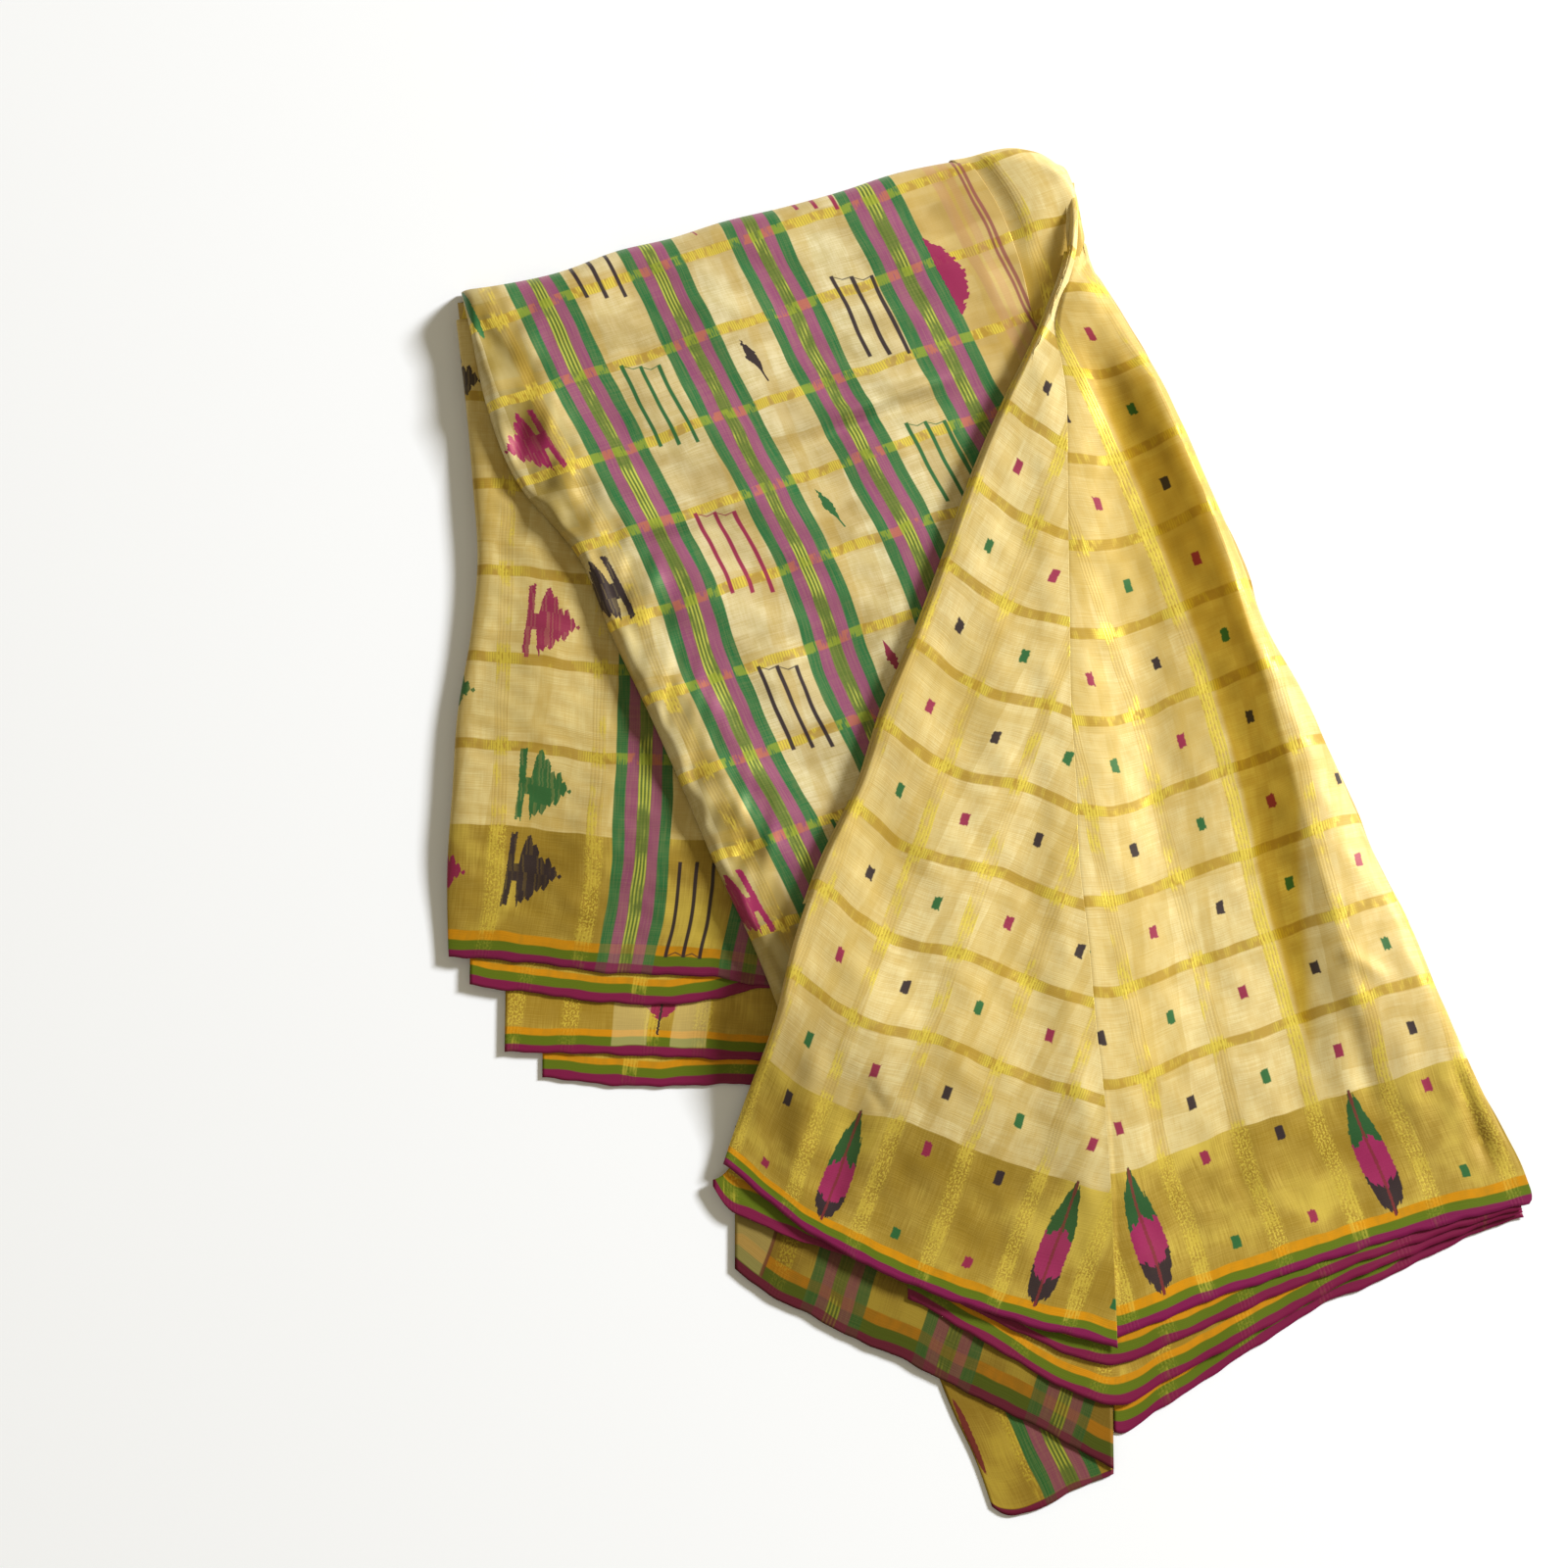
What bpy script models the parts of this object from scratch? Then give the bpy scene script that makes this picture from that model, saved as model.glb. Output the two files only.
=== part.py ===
# A folded sari: one long cloth with a woven border, folded in half across its width and many times along its
# length, laid flat, with its upper layers fanned out to the right of a long crease.
# All sizes below are millimetres. X runs to the right, Y towards the top fold, Z up from the surface.

from collections import namedtuple

import bmesh
import bpy
import numpy as np

MM = 0.001
CENTRE_X = -3.2
CENTRE_Y = 10.0

# Cloth wall and the air between two layers
WALL = 1.0
GAP = 0.35
STEP = WALL + GAP
CORE_CLEARANCE = 1.4
CORE_LOWEST = 2.0

# Heights of the top surfaces away from the hems, and the layers that lie under each panel at its hem
LOW_HEIGHT = 11.0
HIGH_HEIGHT = 30.0
TREE_AT_HEM = 4 * STEP
FAN_AT_HEM = 5 * STEP - GAP

# Widths over which the bundle slopes down, and radii of its folded edges
TREE_SLOPE = 70.0
FAN_SLOPE = 130.0
TOP_RADIUS = 12.0
LEFT_RADIUS = 9.0
STRIPED_RADIUS = 8.0
FAN_RADIUS = 10.0
RIGHT_RADIUS = 26.0
SIDE_CURL = 0.55

# How far a hidden edge runs on under its neighbour, and how deep a hem layer runs back under the one above
TUCK = 10.0
HEM_DEPTH = 50.0
CORNER_DEPTH = 24.0

# The ridge that runs down the right panel, and where it fades out below the top fold
RIDGE_RISE = 8.0
RIDGE_FLANK = 24.0
RIDGE_FALL = 34.0
TROUGH_DIP = 2.5
RIDGE_FADE_START = 280.0
RIDGE_FADE = 60.0
RIDGE_FADE_AT_HEM = 0.8 * FAN_SLOPE

# The long crease, where the left panel comes down to the right one and the right one dips under it
CREASE_WIDTH = 14.0
CREASE_LEFT_DIP = 0.9
CREASE_RIGHT_DIP = 1.2
CREASE_FADE = 60.0
CREASE_TUCK = 6.6
CREASE_GAP = 0.6
CREASE_TUCK_START = 250.0
CREASE_TUCK_FADE = 40.0
FAN_INSET = 3.0

# The plain turn beside the striped panel: how far it rises, and where
TURN_RISE = 3.0
TURN_RISE_START = 285.0
TURN_RISE_FADE = 45.0
TURN_SPREAD = 1.5
TURN_CURL = 0.22
TURN_INSET = 4.0

# How close the rows and columns of a panel stand where the cloth turns down over a folded edge
ROLL_SHARES = (0, 0.08, 0.3, 0.6, 1)
TOP_STEPS = [TOP_RADIUS * share for share in ROLL_SHARES]
PLAN_TOP = 365.0
PLAN_BOTTOM = -350.0
PLAN_STEP = 0.5
LEAST_COLUMN = 1.5
LEAST_FOLDED_COLUMN = 0.6

# The hidden layers: the folds that show at each side, and the bulge of one as (share of its height, inset)
LEFT_LOBES = 2
RIGHT_LOBES = 3
LOBE = ((0.0, 2.2), (0.3, 0.5), (0.7, 0.5))
LOBE_STAGGER = 0.8
LEFT_SIDE_HEIGHT = 4.2
RIGHT_SIDE_HEIGHT = 11.0
LEFT_SIDE_SHARE = 0.5
RIGHT_SIDE_SHARE = 0.42
SIDE_RISE = 30.0
SIDE_LEAST = 0.2
SIDE_STEP = 0.6
LEFT_BULGE = 4.0
RIGHT_BULGE = 6.5
CORE_TOP_INSET = 5.5
CORE_STEPS = (0, 2, 5, 9)
CORE_ROWS = 26
CORE_RIGHT_INSET = 4.0
STRIPED_TERRACE = 12.0
FAN_TERRACE = 14.0

# X of each long edge across the bundle, one row for each section from the top fold down
Section = namedtuple("Section", "y left_side striped_edge fan_edge crease ridge right_side")
SECTIONS = (
    Section(350, -281, -279, 40, 43, 44, 40),
    Section(325, -281, -279, 40, 43, 46, 48),
    Section(300, -280, -277, 38, 41, 50, 53),
    Section(260, -275, -268, 24, 36, 70, 72),
    Section(220, -270, -259, 5, 39, 88, 93),
    Section(180, -266, -243, -12, 39, 104, 109),
    Section(140, -263, -211, -26, 39, 118, 125),
    Section(100, -266, -194, -41, 39, 128, 139),
    Section(60, -272, -175, -58, 39, 140, 160),
    Section(20, -274, -157, -71, 41, 150, 176),
    Section(-20, -276, -140, -90, 42, 160, 192),
    Section(-60, -275, -121, -104, 46, 171, 211),
    Section(-100, -272, -106, -114, 49, 180, 227),
    Section(-140, -270, -100, -129, 53, 192, 246),
    Section(-180, -270, -95, -142, 56, 205, 266),
    Section(-220, -270, -90, -150, 58, 220, 283),
    Section(-320, -270, -90, -170, 61, 250, 310),
)

# Heights of what the striped panel and the fan's left edge reach, by section
Rise = namedtuple("Rise", "y striped_height fan_edge_height")
RISES = (
    Rise(350, 20.0, 24.8),
    Rise(275, 20.0, 24.6),
    Rise(240, 20.0, 23.1),
    Rise(220, 20.0, 23.0),
    Rise(200, 20.0, 23.0),
    Rise(0, 20.0, 23.0),
    Rise(-40, 18.5, 21.5),
    Rise(-60, 16.5, 19.5),
    Rise(-80, 13.0, 16.0),
    Rise(-100, 9.0, 12.0),
    Rise(-115, 7.5, 9.0),
    Rise(-130, 7.0, 7.6),
    Rise(-168, 7.0, 6.8),
    Rise(-320, 7.0, 6.8),
)

# Y of the top fold and of each end across the bundle, one row for each place
Place = namedtuple("Place", "x y")
TOP_FOLD = (
    Place(-281, 284), Place(-253, 288), Place(-222, 295), Place(-193, 306), Place(-165, 313),
    Place(-138, 322), Place(-106, 330), Place(-75, 339), Place(-49, 348), Place(-11, 356),
    Place(18, 360), Place(35, 353), Place(46, 339), Place(51, 312), Place(56, 295),
)
HIDDEN_END = (
    Place(-280, -16), Place(-130, -16), Place(-100, -24), Place(-85, -70), Place(-70, -125),
    Place(-40, -160), Place(0, -183), Place(57, -203), Place(150, -172), Place(200, -150),
    Place(270, -128), Place(310, -120),
)

# Y of the hems at the left, one row for each place across
TreeHem = namedtuple("TreeHem", "x first second third fourth")
TREE_HEMS = (
    TreeHem(-275, -65, -77, -112, -125),
    TreeHem(-258, -66, -80, -113, -125),
    TreeHem(-233, -68, -83, -113, -125),
    TreeHem(-195, -73, -88, -114, -129),
    TreeHem(-170, -74, -89, -115, -130),
    TreeHem(-144, -75, -87, -116, -129),
    TreeHem(-119, -79, -81, -117, -129),
    TreeHem(-90, -80, -80, -118, -129),
)

# Y of the hems under the fan: left is the front hem left of the crease, right is the one right of it
FanHem = namedtuple("FanHem", "x left right second third fourth")
FAN_HEMS = (
    FanHem(-145, -165, -165, -165, -165, -165),
    FanHem(-138, -168, -168, -168, -168, -168),
    FanHem(-118, -184, -184, -184, -184, -184),
    FanHem(-98, -200, -200, -200, -200, -200),
    FanHem(-67, -218, -218, -216, -222, -222),
    FanHem(-30, -234, -234, -232, -243, -243),
    FanHem(-6, -242, -242, -244, -257, -257),
    FanHem(19, -250, -250, -256, -272, -272),
    FanHem(41, -255, -254, -265, -283, -290),
    FanHem(60, -260, -254, -268, -288, -301),
    FanHem(80, -262, -247, -260, -278, -290),
    FanHem(99, -262, -239, -252, -268, -278),
    FanHem(137, -262, -226, -235, -248, -254),
    FanHem(167, -262, -216, -223, -231, -236),
    FanHem(186, -262, -210, -216, -222, -229),
    FanHem(209, -262, -203, -208, -213, -218),
    FanHem(236, -262, -196, -199, -202, -205),
    FanHem(264, -262, -189, -191, -193, -195),
    FanHem(290, -262, -184, -186, -188, -190),
)

# Y of the layer folded back at the fan's lower left corner
CORNER_HEM = (Place(-142, -178), Place(-137, -187), Place(-119, -198), Place(-98, -207), Place(-55, -219))

# The striped hem and the tail below the fan
STRIPED_HEM = (
    Place(-132, -219), Place(-114, -233), Place(-92, -244), Place(-67, -257), Place(-45, -266),
    Place(-30, -274), Place(-6, -286), Place(19, -298), Place(41, -310), Place(58, -319),
)
TAIL_HEM = (
    Place(-4, -336), Place(0, -339), Place(7, -341), Place(20, -338), Place(33, -331),
    Place(44, -326), Place(58, -321),
)
TAIL_SIDE = (Place(-31, -268), Place(-28, -276), Place(-21, -293), Place(-12, -312), Place(-2, -340))

# X of the selvedge where the plain top turn begins, of its other side, and Y of its lower end
TURN_SELVEDGE = (Place(-14, 356), Place(3, 328), Place(15, 296), Place(23, 258))
TURN_SIDE = (Place(40, 350), Place(48, 325), Place(50, 306), Place(44, 290), Place(34, 262))
TURN_END = (
    Place(-14, 262), Place(18, 262), Place(26, 263), Place(33, 274), Place(38, 290),
    Place(41, 303), Place(44, 306.5), Place(56, 306.5),
)

# Where each panel starts below the top fold, or ends above its hem, along Y
TREE_PANEL_START = 268.0
STRIPED_PANEL_END = -98.0
FAN_LEFT_START = 292.0
FAN_RIGHT_START = 305.5
FAN_EDGE_START = 288.0
FAN_EDGE_END = -40.0

# The hem layers under a panel: the height at its own hem, the share of the panel's rise that it follows, and
# X of its left end
HemLayer = namedtuple("HemLayer", "name height share left")
TREE_HEM_LAYERS = (
    HemLayer("second", 3 * STEP, 0.6, -264.0),
    HemLayer("third", 2 * STEP, 0.4, -246.0),
    HemLayer("fourth", 1 * STEP, 0.2, -227.0),
)
FAN_HEM_LAYERS = (
    HemLayer("second", 3.75 * STEP, 0.66, -34.0),
    HemLayer("third", 2.7 * STEP, 0.44, -44.0),
    HemLayer("fourth", WALL, 0.22, 57.35),
)
CORNER_LAYER = HemLayer("corner", 3.7 * STEP, 0.6, -141.0)
STRIPED_LAYER = HemLayer("striped", 1.7 * STEP, 0.25, -130.0)
TREE_HEM_RIGHT = -101.0
FAN_HEM_INSET = 3.0
CORNER_RIGHT = -56.0
TAIL_RIGHT = 57.0

# Creases across the striped panel: where each begins and ends, how high it stands and how wide it is
Crease = namedtuple("Crease", "x0 y0 x1 y1 height width")
STRIPED_CREASES = (
    Crease(-196, 152, -104, 178, 1.6, 9.0),
    Crease(-82, 202, -38, 208, 1.4, 8.0),
    Crease(-180, 236, -120, 262, 0.9, 12.0),
    Crease(-120, 60, -92, 92, 1.2, 10.0),
)

# Slow unevenness of the whole bundle: wave lengths along X and Y, phase and height
Wave = namedtuple("Wave", "length_x length_y phase height")
WAVES = (
    Wave(210, 330, 0.4, 0.45),
    Wave(-95, 160, 1.9, 0.25),
    Wave(62, -140, 3.1, 0.15),
)
WAVES_START = -80.0
WAVES_FADE = 80.0

# Colours of the stretches: red, green, blue and roughness
CREAM = (0.66, 0.53, 0.27, 0.55)
GOLD = (0.43, 0.31, 0.06, 0.42)
GREEN = (0.10, 0.30, 0.13, 0.6)
MAGENTA = (0.27, 0.01, 0.12, 0.6)
OLIVE = (0.17, 0.21, 0.03, 0.6)


def smooth_curve(stations, values):
    """A smooth line through the values at these stations, level beyond its ends."""
    order = np.argsort(stations)
    at = np.array(stations, float)[order]
    value = np.array(values, float)[order]
    slope = np.gradient(value, at)

    def curve(where):
        where = np.clip(where, at[0], at[-1])
        i = np.clip(np.searchsorted(at, where) - 1, 0, len(at) - 2)
        span = at[i + 1] - at[i]
        t = (where - at[i]) / span
        start = (2 * t**3 - 3 * t**2 + 1) * value[i] + (t**3 - 2 * t**2 + t) * span * slope[i]
        finish = (3 * t**2 - 2 * t**3) * value[i + 1] + (t**3 - t**2) * span * slope[i + 1]
        return start + finish

    return curve


def column_of(table, key, name):
    return smooth_curve([getattr(row, key) for row in table], [getattr(row, name) for row in table])


left_side = column_of(SECTIONS, "y", "left_side")
striped_edge = column_of(SECTIONS, "y", "striped_edge")
fan_edge = column_of(SECTIONS, "y", "fan_edge")
crease = column_of(SECTIONS, "y", "crease")
ridge = column_of(SECTIONS, "y", "ridge")
right_side = column_of(SECTIONS, "y", "right_side")
striped_height = column_of(RISES, "y", "striped_height")
fan_edge_height = column_of(RISES, "y", "fan_edge_height")
top_fold = column_of(TOP_FOLD, "x", "y")
hidden_end = column_of(HIDDEN_END, "x", "y")
corner_hem = column_of(CORNER_HEM, "x", "y")
striped_hem = column_of(STRIPED_HEM, "x", "y")
tail_hem = column_of(TAIL_HEM, "x", "y")
tail_side = column_of(TAIL_SIDE, "y", "x")
turn_selvedge = column_of(TURN_SELVEDGE, "y", "x")
turn_side = column_of(TURN_SIDE, "y", "x")
turn_end = column_of(TURN_END, "x", "y")
tree_hem = {name: column_of(TREE_HEMS, "x", name) for name in TreeHem._fields[1:]}
fan_hem = {name: column_of(FAN_HEMS, "x", name) for name in FanHem._fields[1:]}


def eased(share):
    share = np.clip(share, 0, 1)
    return share * share * (3 - 2 * share)


def rounded(distance, radius):
    """A quarter circle: 0 at the edge of a fold, 1 from its radius inwards."""
    inward = np.clip(distance / radius, 0, 1)
    return np.sqrt(1 - (1 - inward) ** 2)


def waves(x, y):
    total = 0
    for wave in WAVES:
        turns = x / wave.length_x + y / wave.length_y
        total = total + wave.height * np.sin(2 * np.pi * turns + wave.phase)
    return total


def over_top_fold(height, x, y):
    """The height where the cloth turns down over the top fold."""
    return STEP + (height - STEP) * rounded(top_fold(x) - y, TOP_RADIUS)


def tree_top(x, y):
    share = eased((y - tree_hem["first"](x)) / TREE_SLOPE)
    height = TREE_AT_HEM + (LOW_HEIGHT - TREE_AT_HEM + waves(x, y)) * share
    curl = SIDE_CURL * (height - 3 * STEP)
    height = height - curl * (1 - rounded(x - left_side(y), LEFT_RADIUS))
    return over_top_fold(height, x, y)


def crease_height(line, x, y):
    """How far one crease lifts the cloth here: a soft ridge that fades out at both ends."""
    run = np.array((line.x1 - line.x0, line.y1 - line.y0))
    share = ((x - line.x0) * run[0] + (y - line.y0) * run[1]) / (run @ run)
    away = np.hypot(x - line.x0 - share * run[0], y - line.y0 - share * run[1])
    fade = eased(1.4 - 2.8 * abs(share - 0.5))
    return line.height * fade * np.exp(-((away / line.width) ** 2))


def striped_level(x, y):
    height = striped_height(y) + waves(x, y) * eased((y - WAVES_START) / WAVES_FADE)
    return height + sum(crease_height(line, x, y) for line in STRIPED_CREASES)


def striped_top(x, y):
    height = striped_level(x, y)
    edge = striped_edge(y)
    foot = tree_top(edge + FAN_INSET, y) + STEP
    height = foot + (height - foot) * rounded(x - edge, STRIPED_RADIUS)
    return over_top_fold(height, x, y)


def fan_level(x, y):
    """The height of the fan between its rolled edges, before the two panels part at the crease."""
    hem = np.where(x < crease(y), fan_hem["left"](x), fan_hem["right"](x))
    share = eased((y - hem) / FAN_SLOPE)
    height = FAN_AT_HEM + (HIGH_HEIGHT - FAN_AT_HEM + waves(x, y)) * share
    beside = x - ridge(y)
    flank = np.where(beside < 0, eased(1 + beside / RIDGE_FLANK), eased(1 - beside / RIDGE_FALL))
    across = np.clip((x - crease(y)) / (ridge(y) - crease(y)), 0, 1)
    trough = 0.5 - 0.5 * np.cos(2 * np.pi * across)
    fade = eased((RIDGE_FADE_START - y) / RIDGE_FADE) * eased((y - hem) / RIDGE_FADE_AT_HEM)
    return height + (RIDGE_RISE * flank * (across > 0) - TROUGH_DIP * trough) * fade


def fan_right_top(x, y):
    height = fan_level(x, y)
    curl = SIDE_CURL * (height - FAN_AT_HEM)
    height = height - curl * (1 - rounded(right_side(y) - x, RIGHT_RADIUS))
    under = 1 - eased((x - crease(y)) / CREASE_WIDTH)
    height = height - CREASE_RIGHT_DIP * under * eased((y - fan_hem["right"](x)) / CREASE_FADE)
    return over_top_fold(height, x, y)


def fan_foot(x, y):
    """The height of the fan's left edge where it lies on the striped panel."""
    return striped_level(x, y) + fan_edge_height(y) - striped_height(y)


def fan_left_top(x, y):
    height = fan_level(np.minimum(x, crease(y) - 0.1), y) + STEP
    foot = fan_foot(x, y)
    height = foot + (height - foot) * rounded(x - fan_edge(y) - FAN_INSET, FAN_RADIUS)
    near_crease = 1 - eased((crease(y) - x) / CREASE_WIDTH)
    return height - CREASE_LEFT_DIP * near_crease * eased((y - fan_hem["left"](x)) / CREASE_FADE)


def fan_edge_top(x, y):
    return fan_foot(x, y) - STEP


def turn_top(x, y):
    height = striped_level(x, y) + STEP
    across = (x - turn_selvedge(y)) / (turn_side(y) - turn_selvedge(y))
    height = height + TURN_RISE * eased(across * TURN_SPREAD) * eased((y - TURN_RISE_START) / TURN_RISE_FADE)
    height = height - TURN_CURL * height * (1 - rounded(turn_side(y) + TURN_INSET - x, TOP_RADIUS))
    return STEP + (height - STEP) * rounded(top_fold(x) + STEP - y, TOP_RADIUS + STEP)


def tail_top(x, y):
    return np.full(np.shape(x), WALL)


def hem_under(layer, upper, upper_at_hem):
    """A hem layer's height: its own at the hem, and a share of what the panel above rises by behind it."""

    def height(x, y):
        return layer.height + layer.share * np.maximum(upper(x, y) - upper_at_hem, 0)

    return height


def hidden_top(x, y):
    """The height of the hidden layers, in three terraces under the panels that show."""
    low = tree_top(np.maximum(x, left_side(y) + LEFT_RADIUS), y)
    middle = over_top_fold(striped_level(x, y), x, y)
    inside_right = np.minimum(x, right_side(y) - CORE_RIGHT_INSET)
    high = over_top_fold(np.minimum(fan_level(x, y), fan_right_top(inside_right, y)), x, y)
    height = low + (middle - low) * eased((x - striped_edge(y) - TUCK - 4) / STRIPED_TERRACE)
    height = height + (high - height) * eased((x - fan_edge(y) - TUCK - 6) / FAN_TERRACE)
    return np.maximum(np.minimum(height, high + 2) - WALL - CORE_CLEARANCE, CORE_LOWEST)


def ordered(across, least):
    """Keeps the columns of each section in order between the outer two, at least this far apart."""
    count = across.shape[1]
    steps = np.arange(count)
    room = np.minimum(least, 0.9 * (across[:, -1] - across[:, 0]) / (count - 1))[:, None]
    across = np.maximum(across, across[:, :1] + steps * room)
    across = np.minimum(across, across[:, -1:] - (count - 1 - steps) * room)
    for i in range(1, count - 1):
        across[:, i] = np.maximum(across[:, i], across[:, i - 1] + room[:, 0])
    return across


def rows_between(columns, start, end, first_steps, rows, least=LEAST_COLUMN):
    """Plan positions of a panel: each column runs from start to end, with a few close steps at its start."""
    y = np.arange(PLAN_TOP, PLAN_BOTTOM, -PLAN_STEP)
    across = ordered(np.stack([np.broadcast_to(column(y), y.shape) for column in columns], axis=1), least)
    plan = np.empty((rows, len(columns), 2))
    for i in range(len(columns)):
        x = across[:, i]
        first = y[np.argmax(y <= start(x))]
        last = y[np.argmax(y < end(x))]
        steps = np.array(first_steps)
        rest = np.linspace(first - steps[-1], last, rows - len(steps) + 1)[1:]
        down = np.concatenate([first - steps, rest])
        plan[:, i, 0] = np.interp(-down, -y, x)
        plan[:, i, 1] = down
    return plan


def offset(curve, distance):
    return lambda where: curve(where) + distance


def between(first, second, share, shift_first=0.0, shift_second=0.0):
    return lambda y: (1 - share) * (first(y) + shift_first) + share * (second(y) + shift_second)


def level(value):
    return lambda where: np.full(np.shape(where), float(value))


def shares(first, last, count):
    return [first + (last - first) * i / (count - 1) for i in range(count)]


def new_material(name, colour):
    material = bpy.data.materials.new(name)
    material.use_nodes = True
    shader = material.node_tree.nodes["Principled BSDF"]
    shader.inputs["Base Color"].default_value = (*colour[:3], 1)
    shader.inputs["Roughness"].default_value = colour[3]
    shader.inputs["Metallic"].default_value = 0.0
    return material


def new_object(name, mesh, colour, collection):
    mesh.materials.append(new_material(name + "_cloth", colour))
    mesh.shade_smooth()
    obj = bpy.data.objects.new(name, mesh)
    collection.objects.link(obj)
    return obj


def in_metres(points):
    shift = np.array((CENTRE_X, CENTRE_Y, 0.0))
    return (points - shift) * MM


def cloth_panel(name, plan, height, colour, collection):
    """A stretch of cloth: a grid placed on its plan at its height, made a wall by Solidify."""
    rows, columns = plan.shape[:2]
    points = np.dstack([plan, height(plan[..., 0], plan[..., 1])])
    points = in_metres(points)
    mesh = bpy.data.meshes.new(name)
    work = bmesh.new()
    bmesh.ops.create_grid(work, x_segments=columns - 1, y_segments=rows - 1, size=0.5)
    for vertex in work.verts:
        column = round((vertex.co.x + 0.5) * (columns - 1))
        row = round((0.5 - vertex.co.y) * (rows - 1))
        vertex.co = points[row, column]
    work.to_mesh(mesh)
    work.free()
    obj = new_object(name, mesh, colour, collection)
    wall = obj.modifiers.new("wall", "SOLIDIFY")
    wall.thickness = WALL * MM
    wall.offset = -1
    return obj


def layered_edge(x_edge, inward, lobes, height, top_x):
    """The side of the hidden layers: one rounded bulge for each folded layer, from the surface up."""
    points = []
    layer = height / lobes
    for lobe in range(lobes):
        for share, inset in LOBE:
            x = x_edge + inward * (inset + LOBE_STAGGER * (lobe % 2))
            points.append((x, (lobe + share) * layer))
    points.append((top_x, height + SIDE_STEP))
    return points


def end_wall(work, section, columns):
    """Closes one end of the hidden layers down to the surface, and returns the vertices at its foot."""
    left = len(LOBE) * LEFT_LOBES + 1
    right = left + columns
    tops = section[left:right]
    feet = [work.verts.new((top.co.x, top.co.y, 0)) for top in tops]
    for i in range(columns - 1):
        work.faces.new((tops[i], tops[i + 1], feet[i + 1], feet[i]))
    work.faces.new(section[:left] + [tops[0], feet[0]])
    work.faces.new([feet[-1], tops[-1]] + section[right:])
    return feet


def hidden_section(work, row, height):
    """One section through the hidden layers: up the left side, over the top and down the right side."""
    share = np.clip((top_fold(row[0, 0]) - row[0, 1]) / SIDE_RISE, SIDE_LEAST, 1)
    left_height = min(LEFT_SIDE_HEIGHT * share, LEFT_SIDE_SHARE * height[0])
    right_height = min(RIGHT_SIDE_HEIGHT * share, RIGHT_SIDE_SHARE * height[-1])
    left = layered_edge(row[0, 0] - LEFT_BULGE, 1, LEFT_LOBES, left_height, row[0, 0])
    right = layered_edge(row[-1, 0] + RIGHT_BULGE, -1, RIGHT_LOBES, right_height, row[-1, 0] + 1)
    section = [(x, row[0, 1], z) for x, z in left]
    section += [(x, y, z) for (x, y), z in zip(row, height)]
    section += [(x, row[-1, 1], z) for x, z in reversed(right)]
    return [work.verts.new(point) for point in in_metres(np.array(section))]


def hidden_layers(collection):
    """One solid for the layers that don't show, lofted through sections from the top fold to the hems."""
    columns = (
        offset(left_side, 6),
        offset(left_side, 12),
        between(left_side, striped_edge, 0.5, 12, TUCK),
        offset(striped_edge, TUCK + 2),
        offset(striped_edge, TUCK + 10),
        offset(striped_edge, TUCK + 18),
        between(striped_edge, fan_edge, 0.5, TUCK + 18, TUCK),
        offset(fan_edge, TUCK + 2),
        offset(fan_edge, TUCK + 13),
        offset(fan_edge, TUCK + 22),
        between(fan_edge, crease, 0.6, TUCK + 22),
        offset(crease, 0),
        between(crease, ridge, 0.5, 0, -RIDGE_FLANK),
        offset(ridge, -RIDGE_FLANK),
        offset(ridge, -RIDGE_FLANK / 2),
        offset(ridge, 0),
        between(ridge, right_side, 0.5, 0, -8),
        offset(right_side, -9),
    )
    plan = rows_between(columns, offset(top_fold, -CORE_TOP_INSET), hidden_end, CORE_STEPS, CORE_ROWS)
    heights = hidden_top(plan[..., 0], plan[..., 1])
    work = bmesh.new()
    sections = [hidden_section(work, row, height) for row, height in zip(plan, heights)]
    for upper, lower in zip(sections, sections[1:]):
        for i in range(len(upper) - 1):
            work.faces.new((upper[i], lower[i], lower[i + 1], upper[i + 1]))
    feet = [end_wall(work, section, len(columns)) for section in (sections[0], sections[-1])]
    outline = [section[0] for section in sections] + feet[1]
    outline += [section[-1] for section in reversed(sections)] + feet[0][::-1]
    work.faces.new(outline)
    bmesh.ops.recalc_face_normals(work, faces=work.faces)
    mesh = bpy.data.meshes.new("folded_layers")
    work.to_mesh(mesh)
    work.free()
    return new_object("folded_layers", mesh, CREAM, collection)


def tree_side(collection):
    """The panel with the trees, and the three hems that step out below it."""
    rolled = [offset(left_side, LEFT_RADIUS * share) for share in ROLL_SHARES]
    across = [between(left_side, striped_edge, share, LEFT_RADIUS, TUCK) for share in shares(0.2, 1, 6)]
    plan = rows_between(rolled + across, level(TREE_PANEL_START), tree_hem["first"], (0,), 24)
    cloth_panel("tree_panel", plan, tree_top, CREAM, collection)
    for layer in TREE_HEM_LAYERS:
        hem = tree_hem[layer.name]
        columns = [level(x) for x in shares(layer.left, TREE_HEM_RIGHT, 9)]
        plan = rows_between(columns, offset(hem, HEM_DEPTH), hem, (0,), 5)
        height = hem_under(layer, tree_top, TREE_AT_HEM)
        cloth_panel("tree_hem_" + layer.name, plan, height, OLIVE, collection)


def striped_right(y):
    """Where the striped panel goes under the fan, or under the top turn above it."""
    return np.where(y > TURN_SELVEDGE[-1].y, np.minimum(turn_selvedge(y), fan_edge(y)), fan_edge(y))


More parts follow.
